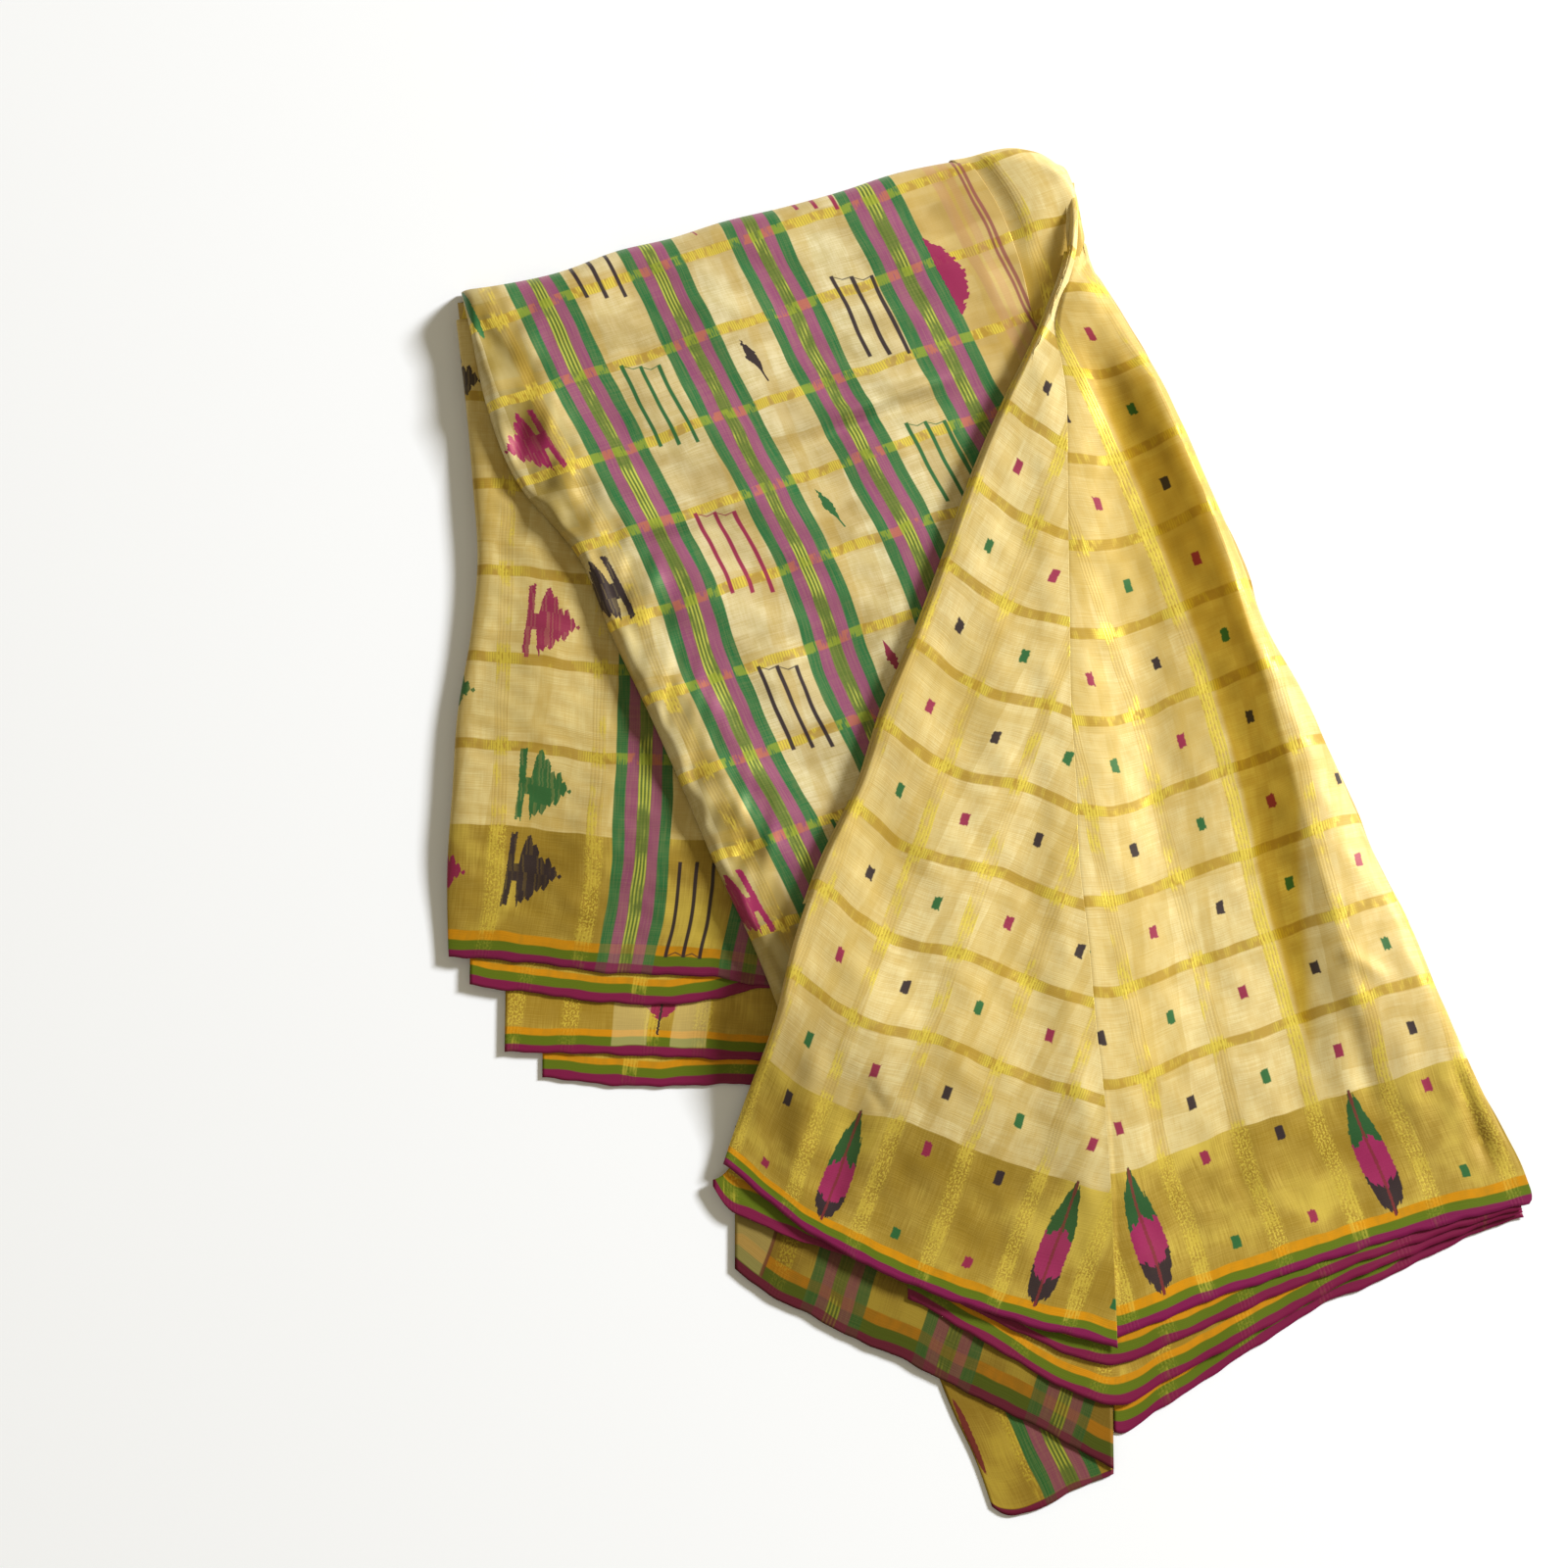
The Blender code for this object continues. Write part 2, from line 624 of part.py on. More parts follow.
def striped_side(collection):
    """The striped panel and the plain turn beside it, both turned down over the top fold."""
    rolled = [offset(striped_edge, STRIPED_RADIUS * share) for share in ROLL_SHARES]
    across = [
        between(striped_edge, striped_right, share, STRIPED_RADIUS, TUCK) for share in shares(0.1, 1, 10)
    ]
    plan = rows_between(rolled + across, top_fold, level(STRIPED_PANEL_END), TOP_STEPS, 36)
    cloth_panel("striped_panel", plan, striped_top, GREEN, collection)
    columns = [between(turn_selvedge, turn_side, share) for share in (0, 0.15, 0.3, 0.5, 0.7, 0.85, 0.95, 1)]
    plan = rows_between(columns, offset(top_fold, STEP), turn_end, TOP_STEPS, 14)
    cloth_panel("top_turn", plan, turn_top, CREAM, collection)


def tucked(y):
    """The right panel's hidden edge, under the left panel below the fan's narrow top."""
    return crease(y) + CREASE_GAP - CREASE_TUCK * eased((CREASE_TUCK_START - y) / CREASE_TUCK_FADE)


def fan(collection):
    """The two dotted panels on each side of the long crease."""
    edge = offset(fan_edge, FAN_INSET)
    rolled = [offset(edge, FAN_RADIUS * share) for share in ROLL_SHARES]
    across = [between(edge, crease, share, FAN_RADIUS, -CREASE_WIDTH) for share in shares(0.15, 1, 7)]
    folded = [offset(crease, -distance) for distance in (9, 4, 0)]
    columns = rolled + across + folded
    plan = rows_between(columns, level(FAN_LEFT_START), fan_hem["left"], (0,), 32, least=LEAST_FOLDED_COLUMN)
    cloth_panel("fan_left_panel", plan, fan_left_top, CREAM, collection)
    under = [tucked] + [offset(crease, distance) for distance in (2, 7, CREASE_WIDTH)]
    middle = [between(crease, ridge, share, CREASE_WIDTH, -RIDGE_FLANK) for share in (0.33, 0.67, 1)]
    crest = [offset(ridge, distance) for distance in (-16, -8, 0)]
    fall = [between(ridge, right_side, share, 0, -RIGHT_RADIUS) for share in (0.5, 1)]
    rolled = [offset(right_side, -RIGHT_RADIUS * share) for share in (0.7, 0.4, 0.18, 0.05, 0)]
    columns = under + middle + crest + fall + rolled
    plan = rows_between(columns, level(FAN_RIGHT_START), fan_hem["right"], (0,), 32)
    cloth_panel("fan_right_panel", plan, fan_right_top, CREAM, collection)
    columns = [offset(fan_edge, distance) for distance in (0, 4, 8, 12)]
    plan = rows_between(columns, level(FAN_EDGE_START), level(FAN_EDGE_END), (0,), 20)
    cloth_panel("fan_edge_layer", plan, fan_edge_top, GOLD, collection)


def fan_hems(collection):
    """The hems that step out below the fan, the folded corner, the striped hem and the tail."""
    for layer in FAN_HEM_LAYERS:
        hem = fan_hem[layer.name]
        columns = [
            between(level(layer.left), right_side, part, 0, -FAN_HEM_INSET) for part in shares(0, 1, 14)
        ]
        plan = rows_between(columns, offset(hem, HEM_DEPTH), hem, (0,), 5)
        height = hem_under(layer, fan_level, FAN_AT_HEM)
        cloth_panel("fan_hem_" + layer.name, plan, height, MAGENTA, collection)
    columns = [level(x) for x in shares(CORNER_LAYER.left, CORNER_RIGHT, 7)]
    plan = rows_between(columns, offset(corner_hem, CORNER_DEPTH), corner_hem, (0,), 4)
    height = hem_under(CORNER_LAYER, fan_level, FAN_AT_HEM)
    cloth_panel("fan_corner_hem", plan, height, OLIVE, collection)
    columns = [level(x) for x in shares(STRIPED_LAYER.left, TAIL_RIGHT, 12)]
    plan = rows_between(columns, offset(fan_hem["left"], CORNER_DEPTH), striped_hem, (0,), 7)
    height = hem_under(STRIPED_LAYER, fan_level, FAN_AT_HEM)
    cloth_panel("striped_hem", plan, height, GREEN, collection)
    columns = [between(tail_side, level(TAIL_RIGHT), share) for share in shares(0, 1, 7)]
    plan = rows_between(columns, offset(striped_hem, CORNER_DEPTH), tail_hem, (0,), 7)
    cloth_panel("tail_end", plan, tail_top, GOLD, collection)


def main():
    for obj in list(bpy.data.objects):
        bpy.data.objects.remove(obj, do_unlink=True)
    collection = bpy.data.collections.new("folded_sari")
    bpy.context.scene.collection.children.link(collection)
    hidden_layers(collection)
    tree_side(collection)
    striped_side(collection)
    fan(collection)
    fan_hems(collection)


main()
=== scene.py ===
import math

import bmesh
import bpy
import numpy as np
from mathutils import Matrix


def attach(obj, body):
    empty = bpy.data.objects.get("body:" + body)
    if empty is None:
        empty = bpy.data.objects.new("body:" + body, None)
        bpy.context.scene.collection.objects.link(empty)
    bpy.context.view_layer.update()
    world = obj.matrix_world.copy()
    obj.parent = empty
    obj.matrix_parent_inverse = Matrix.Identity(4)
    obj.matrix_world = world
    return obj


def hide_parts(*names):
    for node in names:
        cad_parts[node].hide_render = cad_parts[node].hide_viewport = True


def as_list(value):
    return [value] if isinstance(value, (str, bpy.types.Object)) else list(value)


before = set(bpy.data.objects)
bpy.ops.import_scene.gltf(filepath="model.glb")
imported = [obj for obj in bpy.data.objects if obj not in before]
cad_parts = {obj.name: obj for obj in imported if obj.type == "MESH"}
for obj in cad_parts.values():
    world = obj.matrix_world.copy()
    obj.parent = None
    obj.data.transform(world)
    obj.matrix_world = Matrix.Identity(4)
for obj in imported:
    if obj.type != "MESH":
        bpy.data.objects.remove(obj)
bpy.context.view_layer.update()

print("frame loaded:", len(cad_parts), "nodes")

# The folded sari lies on the floor, seen from almost straight above, with the top fold away from the camera.
# Sizes are millimetres until a mesh is made. x runs right, y towards the top fold, z up.
bundle = {
    "middle": (-3.2, 10.0),  # the point of the plan that the frame's origin stands on
    "layer": 1.35,  # one layer of the solids with the air under it
    "solidWall": 1.0,
    "clothWall": 0.4,
    "lowHeight": 11.0,  # the pile under the trees
    "highHeight": 30.0,  # the pile under the fan
    "treeSlope": 70.0,
    "fanSlope": 130.0,
    "topRadius": 12.0,
    "leftRadius": 9.0,
    "stripedRadius": 6.5,
    "stripedCalm": 80.0,  # how far below the middle the striped panel's waves fade out
    "fanRadius": 3.0,
    "rightRadius": 17.0,
    "sideCurl": 0.55,
    "ridgeRise": 8.0,
    "rightCurl": 0.36,
    "ridgeFlank": 30.0,
    "ridgeFall": 34.0,
    "ridgeDrop": 0.4,  # the part of its rise that the ridge loses towards the right side
    "troughDip": 2.5,
    "creaseRise": 2.4,  # how far both panels rise to the long crease
}
treeAtHem = 4 * bundle["layer"]  # how high each side's top layer lies at its hem
fanAtHem = 5 * bundle["layer"] - 0.35


def table(columns, *rows):
    return {name: np.array([row[i] for row in rows], float) for i, name in enumerate(columns.split())}


# where each long edge stands, from the top fold down
sections = table(
    "y leftSide stripedEdge fanEdge crease ridge rightSide",
    (350, -281, -279, 40, 46.5, 48, 49),
    (325, -281, -279, 40, 46.5, 48, 50),
    (300, -280, -277, 38, 45.5, 50, 53),
    (260, -275, -268, 24, 35.5, 70, 72),
    (220, -270, -259, 5, 39, 88, 93),
    (180, -266, -243, -12, 39, 104, 109),
    (140, -263, -211, -26, 39, 118, 125),
    (100, -266, -194, -41, 39, 128, 139),
    (60, -272, -175, -58, 39, 140, 160),
    (20, -274, -157, -71, 41, 150, 176),
    (-20, -276, -140, -90, 42, 160, 192),
    (-60, -275, -121, -104, 46, 171, 211),
    (-100, -272, -106, -114, 49, 180, 227),
    (-140, -270, -100, -129, 53, 192, 246),
    (-180, -270, -95, -142, 56, 205, 266),
    (-220, -270, -90, -150, 58, 220, 283),
    (-320, -270, -90, -170, 61, 250, 310),
)
rises = table(
    "y stripedHeight fanEdgeHeight",
    (350, 20.0, 24.8), (275, 20.0, 24.6), (240, 20.0, 23.1), (220, 20.0, 23.0), (200, 20.0, 23.0),
    (0, 20.0, 23.0), (-40, 18.5, 21.5), (-60, 16.5, 19.5), (-80, 13.0, 16.0), (-100, 9.0, 12.0),
    (-115, 7.5, 9.0), (-130, 7.0, 7.6), (-168, 7.0, 6.8), (-320, 7.0, 6.8),
)
topEdge = table(
    "x y",
    (-281, 284), (-253, 288), (-222, 295), (-193, 306), (-165, 313), (-138, 322), (-106, 330), (-75, 339),
    (-49, 348), (-11, 356), (18, 360), (35, 353), (46, 339), (51, 312), (56, 295),
)
hiddenFoot = table(
    "x y",
    (-280, -16), (-130, -16), (-100, -24), (-85, -70), (-70, -125), (-40, -160), (0, -183), (57, -203),
    (150, -172), (200, -150), (270, -128), (310, -120),
)
treeHems = table(
    "x first second third fourth",
    (-275, -65, -77, -112, -125),
    (-258, -66, -80, -113, -125),
    (-233, -68, -83, -113, -125),
    (-195, -73, -88, -114, -129),
    (-170, -74, -89, -115, -130),
    (-144, -75, -87, -116, -129),
    (-119, -79, -81, -117, -129),
    (-90, -80, -80, -118, -129),
)
fanHems = table(
    "x left right second third fourth",
    (-145, -165, -165, -165, -165, -165),
    (-138, -168, -168, -168, -168, -168),
    (-118, -184, -184, -184, -184, -184),
    (-98, -200, -200, -200, -200, -200),
    (-67, -218, -218, -216, -222, -222),
    (-30, -234, -234, -232, -243, -243),
    (-6, -242, -242, -244, -257, -257),
    (19, -250, -250, -256, -272, -272),
    (41, -255, -254, -265, -283, -290),
    (60, -260, -254, -268, -288, -301),
    (80, -262, -247, -260, -278, -290),
    (99, -262, -239, -252, -268, -278),
    (137, -262, -226, -235, -248, -254),
    (167, -262, -216, -223, -231, -236),
    (186, -262, -210, -216, -222, -229),
    (209, -262, -203, -208, -213, -218),
    (236, -262, -196, -199, -202, -205),
    (264, -262, -189, -191, -193, -195),
    (290, -262, -184, -186, -188, -190),
)
cornerEdge = table("x y", (-142, -178), (-137, -187), (-119, -198), (-98, -207), (-55, -219))
stripedEnd = table(
    "x y",
    (-132, -219), (-114, -233), (-92, -244), (-67, -257), (-45, -266), (-30, -274), (-6, -286), (19, -298),
    (41, -310), (58, -319),
)
tailEnd = table("x y", (-4, -336), (0, -339), (7, -341), (20, -338), (33, -331), (44, -326), (58, -321))
tailLeft = table("x y", (-31, -268), (-28, -276), (-21, -293), (-12, -312), (-2, -340))
turnLeft = table("x y", (-14, 356), (3, 328), (15, 296), (23, 258))
turnRight = table("x y", (40, 350), (48, 325), (50, 306), (44, 290), (34, 262))
turnFoot = table("x y", (-14, 262), (18, 262), (26, 262), (33, 266), (38, 272), (44, 280), (56, 284))
# soft folds: from one point to another, how high (low where negative) and how wide
treeFolds = table(
    "x0 y0 x1 y1 height width",
    (-225, 58, -255, 38, 0.9, 7.0), (-246, 200, -242, -40, -0.8, 9.0), (-200, 20, -216, -60, 0.9, 8.0),
    (-262, 150, -236, 128, -0.8, 6.0), (-258, 262, -240, 226, 0.8, 7.0), (-232, -20, -205, -44, 0.6, 6.0),
)
stripedFolds = table(
    "x0 y0 x1 y1 height width",
    (-206, 143, -106, 176, 2.2, 5.0), (-204, 134, -104, 167, -2.0, 5.0), (-106, 204, -4, 240, 3.0, 4.0),
    (-104, 195, -6, 231, -3.0, 4.0), (-252, 240, -230, 150, -2.6, 7.0), (-240, 270, -214, 160, 1.3, 6.0),
    (-268, 266, -240, 236, -1.5, 5.0), (-228, 186, -204, 160, 1.4, 5.0), (-196, 120, -172, 84, -1.4, 6.0),
    (-180, 66, -148, 38, 1.2, 6.0), (-152, -6, -126, -34, -1.2, 6.0), (-182, 236, -120, 262, 0.9, 10.0),
    (-120, 60, -92, 92, 1.2, 9.0), (-40, 120, -22, 70, 0.8, 8.0), (-70, 290, -20, 316, 0.8, 9.0),
    (-8, 300, 12, 262, 1.1, 7.0), (-128, 10, -106, -20, 0.9, 6.0),
)
turnFolds = table(
    "x0 y0 x1 y1 height width",
    (46, 334, 20, 286, -2.4, 8.0), (30, 352, 44, 338, 1.0, 6.0), (30, 300, 38, 268, 0.9, 5.0),
)
fanFolds = table(
    "x0 y0 x1 y1 height width",
    (-106, -190, -84, -98, 2.0, 7.0), (-84, -200, -62, -112, -1.7, 7.0), (-66, -127, -54, -147, -0.7, 2.6),
    (-34, -216, 8, 110, 1.0, 13.0), (18, -220, 20, 90, -1.0, 11.0), (-60, 60, -8, 190, -0.7, 8.0),
    (168, -64, 196, -82, 1.3, 4.0), (172, -88, 192, -158, -2.4, 7.0), (196, -90, 214, -168, 1.8, 7.0),
    (226, -112, 250, -180, -3.0, 4.5), (76, 160, 82, -60, -0.9, 10.0), (60, -50, 78, -210, 0.9, 9.0),
    (110, -120, 128, -214, -0.8, 7.0), (60, 250, 84, 196, 0.7, 5.0),
)
slowWaves = table(
    "lengthX lengthY phase height", (210, 330, 0.4, 0.45), (-95, 160, 1.9, 0.25), (62, -140, 3.1, 0.15)
)


def smoothCurve(stations, values):
    order = np.argsort(stations)
    at, value = stations[order], values[order]
    slope = np.gradient(value, at)

    def curve(where):
        where = np.clip(where, at[0], at[-1])
        i = np.clip(np.searchsorted(at, where) - 1, 0, len(at) - 2)
        span = at[i + 1] - at[i]
        t = (where - at[i]) / span
        start = (2 * t**3 - 3 * t**2 + 1) * value[i] + (t**3 - 2 * t**2 + t) * span * slope[i]
        return start + (3 * t**2 - 2 * t**3) * value[i + 1] + (t**3 - t**2) * span * slope[i + 1]

    return curve


def along(rows, name, key="y"):
    return smoothCurve(rows[key], rows[name])


leftSide, stripedEdge, fanEdge, crease, ridge, rightSide = (
    along(sections, name) for name in list(sections)[1:])
stripedHeight, fanEdgeHeight = (along(rises, name) for name in list(rises)[1:])
topFold, hiddenEnd, cornerHem, stripedHem, tailHem, turnEnd = (
    along(edge, "y", "x") for edge in (topEdge, hiddenFoot, cornerEdge, stripedEnd, tailEnd, turnFoot))
tailSide, turnSelvedge, turnSide = (along(edge, "x") for edge in (tailLeft, turnLeft, turnRight))
treeHem = {name: along(treeHems, name, "x") for name in list(treeHems)[1:]}
fanHem = {name: along(fanHems, name, "x") for name in list(fanHems)[1:]}


def eased(share):
    share = np.clip(share, 0, 1)
    return share * share * (3 - 2 * share)


def rounded(distance, radius):
    inward = np.clip(distance / radius, 0, 1)
    return np.sqrt(1 - (1 - inward) ** 2)


def blend(low, high, share):
    return low + (high - low) * share


def waves(x, y):
    total = 0
    for lengthX, lengthY, phase, height in zip(*slowWaves.values()):
        total = total + height * np.sin(2 * np.pi * (x / lengthX + y / lengthY) + phase)
    return total


def ripple(x, y, seed, length, height):  # uneven small swells, the same on every run
    draw = np.random.default_rng(seed)
    total = 0
    for turn in range(7):
        angle = draw.uniform(0, np.pi)
        wave = length * draw.uniform(0.6, 1.9)
        phase = draw.uniform(0, 2 * np.pi)
        total = total + np.sin(2 * np.pi * (x * np.cos(angle) + y * np.sin(angle)) / wave + phase)
    return total * height / 2.6


def softFold(x, y, x0, y0, x1, y1, height, width):  # one soft ridge, or a trough where its height is negative
    run = np.array((x1 - x0, y1 - y0), float)
    share = ((x - x0) * run[0] + (y - y0) * run[1]) / (run @ run)
    away = np.hypot(x - x0 - share * run[0], y - y0 - share * run[1])
    return height * eased(1.4 - 2.8 * abs(share - 0.5)) * np.exp(-((away / width) ** 2))


def folds(rows, x, y):
    return sum(softFold(x, y, *row) for row in zip(*rows.values()))


def overTopFold(height, x, y):
    return blend(bundle["layer"], height, rounded(topFold(x) - y, bundle["topRadius"]))


def treeTop(x, y):
    share = eased((y - treeHem["first"](x)) / bundle["treeSlope"])
    height = blend(treeAtHem, bundle["lowHeight"] + waves(x, y), share)
    curl = bundle["sideCurl"] * (height - 0.75 * treeAtHem)
    height = height - curl * (1 - rounded(x - leftSide(y), bundle["leftRadius"]))
    return overTopFold(height, x, y)


def stripedLevel(x, y):
    return stripedHeight(y) + waves(x, y) * eased(1 + y / bundle["stripedCalm"]) + folds(stripedFolds, x, y)


def stripedTop(x, y):
    edge = stripedEdge(y)
    foot = treeTop(edge + 3, y) + bundle["layer"]
    height = blend(foot, stripedLevel(x, y), rounded(x - edge, bundle["stripedRadius"]))
    return overTopFold(height, x, y)


fan = {
    "hollow": 1.4,  # above 1 the ridge's flank is hollow
    "ridgeTop": (280.0, 60.0),  # where the ridge ends towards the tip, and over how long it fades
    "ridgeFoot": (40.0, 110.0),  # the same from the hem up
    "crestTop": (270.0, 70.0),
    "crestFoot": (0.0, 80.0),
    "crestWidth": 17.0,
    "overlap": 14.0,  # how far the panels overlap beside the crease
    "lip": (0.6, 1.8),  # how far the under panel dips at the crease, and how much more at the tip
    "dip": (1.6, 0.2),  # how far each panel, left and right, dips beside the crease
    "dipFoot": (0.0, 60.0),
    "tipStart": (240.0, 25.0),  # where the narrow tip starts
    "rightEnd": (304.0, 30.0),  # where each panel goes under the top turn, and over how long
    "leftEnd": (334.0, 20.0),
    "narrowing": (298.0, 15.0),
}


def fadeOut(y, name):
    return eased((fan[name][0] - y) / fan[name][1])


def fadeIn(y, name):
    return eased((y - fan[name][0]) / fan[name][1])


def fanHemAt(x, y):
    return np.where(x < crease(y), fanHem["left"](x), fanHem["right"](x))


def fanLevel(x, y):
    up = y - fanHemAt(x, y)
    height = blend(fanAtHem, bundle["highHeight"] + waves(x, y), eased(up / bundle["fanSlope"]))
    beside = x - ridge(y)
    flank = np.where(beside < 0, np.clip(1 + beside / bundle["ridgeFlank"], 0, 1) ** fan["hollow"],
                     1 - bundle["ridgeDrop"] * eased(beside / bundle["ridgeFall"]))
    across = np.clip((x - crease(y)) / (ridge(y) - crease(y)), 0, 1)
    trough = 0.5 - 0.5 * np.cos(2 * np.pi * across)
    rise = bundle["ridgeRise"] * flank * (across > 0) - bundle["troughDip"] * trough
    return height + rise * fadeOut(y, "ridgeTop") * fadeIn(up, "ridgeFoot")


def creaseCrest(x, y):
    fade = fadeOut(y, "crestTop") * fadeIn(y - fanHem["left"](np.minimum(x, 60)), "crestFoot")
    return bundle["creaseRise"] * np.exp(-(((x - crease(y)) / fan["crestWidth"]) ** 2)) * fade


def fanRightTop(x, y):
    height = fanLevel(x, y)
    curl = bundle["rightCurl"] * (height - fanAtHem)
    height = height - curl * (1 - rounded(rightSide(y) - x, bundle["rightRadius"]))
    under = 1 - eased((x - crease(y)) / fan["overlap"])
    lip = (fan["lip"][0] + fan["lip"][1] * fadeIn(y, "tipStart")) * eased((crease(y) - x) / 1.5)
    height = height - (fan["dip"][1] * under + lip) * fadeIn(y - fanHem["right"](x), "dipFoot")
    return joined(overTopFold(height + creaseCrest(x, y), x, y), x, y, "rightEnd")


def fanFoot(x, y):
    return stripedLevel(x, y) + fanEdgeHeight(y) - stripedHeight(y)


def fanLeftTop(x, y):
    height = fanLevel(np.minimum(x, crease(y) - 0.1), y) + bundle["layer"]
    height = blend(fanFoot(x, y), height, rounded(x - fanEdge(y) - 3, bundle["fanRadius"]))
    atCrease = (1 - eased((crease(y) - x) / fan["overlap"])) * fadeIn(y - fanHem["left"](x), "dipFoot")
    valley = eased((x - fanStart(y) - 1.5) / 4) * fadeIn(y, "tipStart")
    height = height + creaseCrest(x, y) - fan["dip"][0] * atCrease - fan["lip"][1] * valley
    return joined(height, x, y, "leftEnd")


def fanEdgeTop(x, y):
    return fanFoot(x, y) - bundle["layer"]


def joined(height, x, y, end):  # both fan panels rise out of the top turn
    return blend(turnTop(x, y) - 0.8, height, fadeOut(y, end))


def fanStart(y):  # the fan narrows to a strip at the top
    return fanEdge(y) + 3 - 2 * fadeIn(y, "narrowing")


turnForm = {
    "tuck": 1.1,  # how far its selvedge lies below the striped panel's top
    "rise": 14.0,
    "swell": 3.0,
    "swellFrom": 285.0,
    "swellRun": 45.0,
    "curl": 0.22,
    "beyond": 4.0,
}


def turnTop(x, y):  # it comes out from under the striped selvedge and rises beside it
    layer, radius = bundle["layer"], bundle["topRadius"]
    across = (x - turnSelvedge(y)) / (turnSide(y) - turnSelvedge(y))
    rise = eased((x - turnSelvedge(y)) / turnForm["rise"])
    swell = turnForm["swell"] * eased(across * 1.5) * eased((y - turnForm["swellFrom"]) / turnForm["swellRun"])
    swell = swell + folds(turnFolds, x, y)
    height = stripedLevel(x, y) - turnForm["tuck"] + (turnForm["tuck"] + layer + swell) * rise
    height = height - turnForm["curl"] * height * (1 - rounded(turnSide(y) + turnForm["beyond"] - x, radius))
    return blend(layer, height, rounded(topFold(x) + layer - y, radius + layer))


def hemUnder(own, share, upper, upperAtHem):
    return lambda x, y: own + share * np.maximum(upper(x, y) - upperAtHem, 0)


def level(value):
    return lambda where: np.full(np.shape(where), float(value))


def wavy(hem, seed, size=0.5):  # a woven edge is never quite straight
    def edge(x):
        total = 0
        for turn, wave in enumerate((23.0, 41.0, 12.0)):
            total = total + np.sin(2 * np.pi * x / wave + seed * 1.7 + turn * 2.1) / (1 + turn * 0.4)
        return hem(x) + size * total / 1.8

    return edge


def offset(curve, distance):
    return lambda where: curve(where) + distance


def offsets(curve, distances):
    return [offset(curve, distance) for distance in distances]


def between(first, second, share, shiftFirst=0.0, shiftSecond=0.0):
    return lambda y: (1 - share) * (first(y) + shiftFirst) + share * (second(y) + shiftSecond)


def betweens(first, second, parts, *shifts):
    return [between(first, second, part, *shifts) for part in parts]


def shares(count, first=0.0, last=1.0):
    return [first + (last - first) * i / (count - 1) for i in range(count)]


def rolledShares(count, radius=1.0):  # closer together where the cloth turns down
    return [radius * (1 - math.cos(0.5 * math.pi * share)) for share in shares(count)]


def ordered(across, least):
    count = across.shape[1]
    steps = np.arange(count)
    room = np.minimum(least, 0.9 * (across[:, -1] - across[:, 0]) / (count - 1))[:, None]
    across = np.maximum(across, across[:, :1] + steps * room)
    across = np.minimum(across, across[:, -1:] - (count - 1 - steps) * room)
    return np.maximum.accumulate(across, axis=1)


def crossing(y, gap):  # where a gap that narrows down a column closes
    k = int(np.argmax(gap <= 0))
    return y[k] if k == 0 else y[k - 1] + (y[k] - y[k - 1]) * gap[k - 1] / (gap[k - 1] - gap[k])


def rowsBetween(columns, start, end, rows, firstSteps=(0,), least=0.25):
    y = np.arange(365.0, -350.0, -0.5)
    across = ordered(np.stack([np.broadcast_to(column(y), y.shape) for column in columns], axis=1), least)
    plan = np.empty((rows, len(columns), 2))
    steps = np.array(firstSteps)
    for i in range(len(columns)):
        x = across[:, i]
        first, last = crossing(y, y - start(x)), crossing(y, y - end(x))
        rest = np.linspace(first - steps[-1], last, rows - len(steps) + 1)[1:]
        down = np.concatenate([first - steps, rest])
        plan[:, i, 0] = np.interp(-down, -y, x)
        plan[:, i, 1] = down
    return plan


# Cloth coordinates: u runs along the hem and v up from it, in millimetres of cloth.
drape = {
    "weftRise": 0.338,  # how far the striped panel's weft climbs to the right, for each millimetre
    "weftStart": 77.7,
    "fanLean": 0.366,  # how far a warp thread leans for each millimetre down
    "fanRightLean": -0.3,
    "stripedHemLean": 0.33,
    "tailLean": -0.45,
    "fanCheck": 39.0,
}


def hemArc(hem, first, last):
    x = np.arange(first, last, 1.0)
    length = np.concatenate([[0], np.cumsum(np.hypot(1.0, np.diff(hem(x))))])
    return lambda where: np.interp(where, x, length)


def downToHem(x, y, lean, hem):  # follows the warp down: where it meets the hem, and how long it runs
    landing = x
    for turn in range(14):
        landing = x - lean * (y - hem(landing))
    return landing, (y - hem(landing)) * math.hypot(1, lean)


stripeLine = along(table(
    "y x", (360, -287), (285, -251), (226, -223), (175, -197), (134, -177), (69, -154), (-11, -115),
    (-120, -62),
), "x")
treeStripeLine = along(table(
    "y x", (300, -188), (80, -190), (0, -192), (-40, -195), (-65, -200), (-130, -208),
), "x")
bandSpacing = table(
    "apart u", (-200, -200), (0, 0), (33, 29.5), (67, 58), (99, 87.5), (127, 116), (159, 145.5), (194, 174),
    (229, 203.5), (268, 238), (320, 290),
)
fanWarp = table(
    "v line pitch", (0, 125, 38.5), (24, 119, 38.2), (68, 104, 37), (100, 96.5, 36.5), (146, 87, 35.5),
    (192, 78, 34.3), (241, 68.5, 34.5), (285, 60, 34), (333, 47, 34.3), (380, 33, 34), (427, 17, 34.5),
    (472, 0, 34.5), (511, -18, 34), (600, -58, 34),
)
fanWarpLine, fanWarpPitch = along(fanWarp, "line", "v"), along(fanWarp, "pitch", "v")
leftArc = hemArc(fanHem["left"], -200, 80)
stripedArc = hemArc(stripedHem, -160, 80)


def treeCloth(name):
    return lambda x, y: (x - treeStripeLine(y), y - treeHem[name](x))


def stripedRise(x, y):
    return y - drape["weftRise"] * x + drape["weftStart"]


def stripedCloth(x, y):
    return np.interp(x - stripeLine(y), bandSpacing["apart"], bandSpacing["u"]), stripedRise(x, y)


def turnCloth(x, y):
    return x - turnSelvedge(y), stripedRise(x, y)


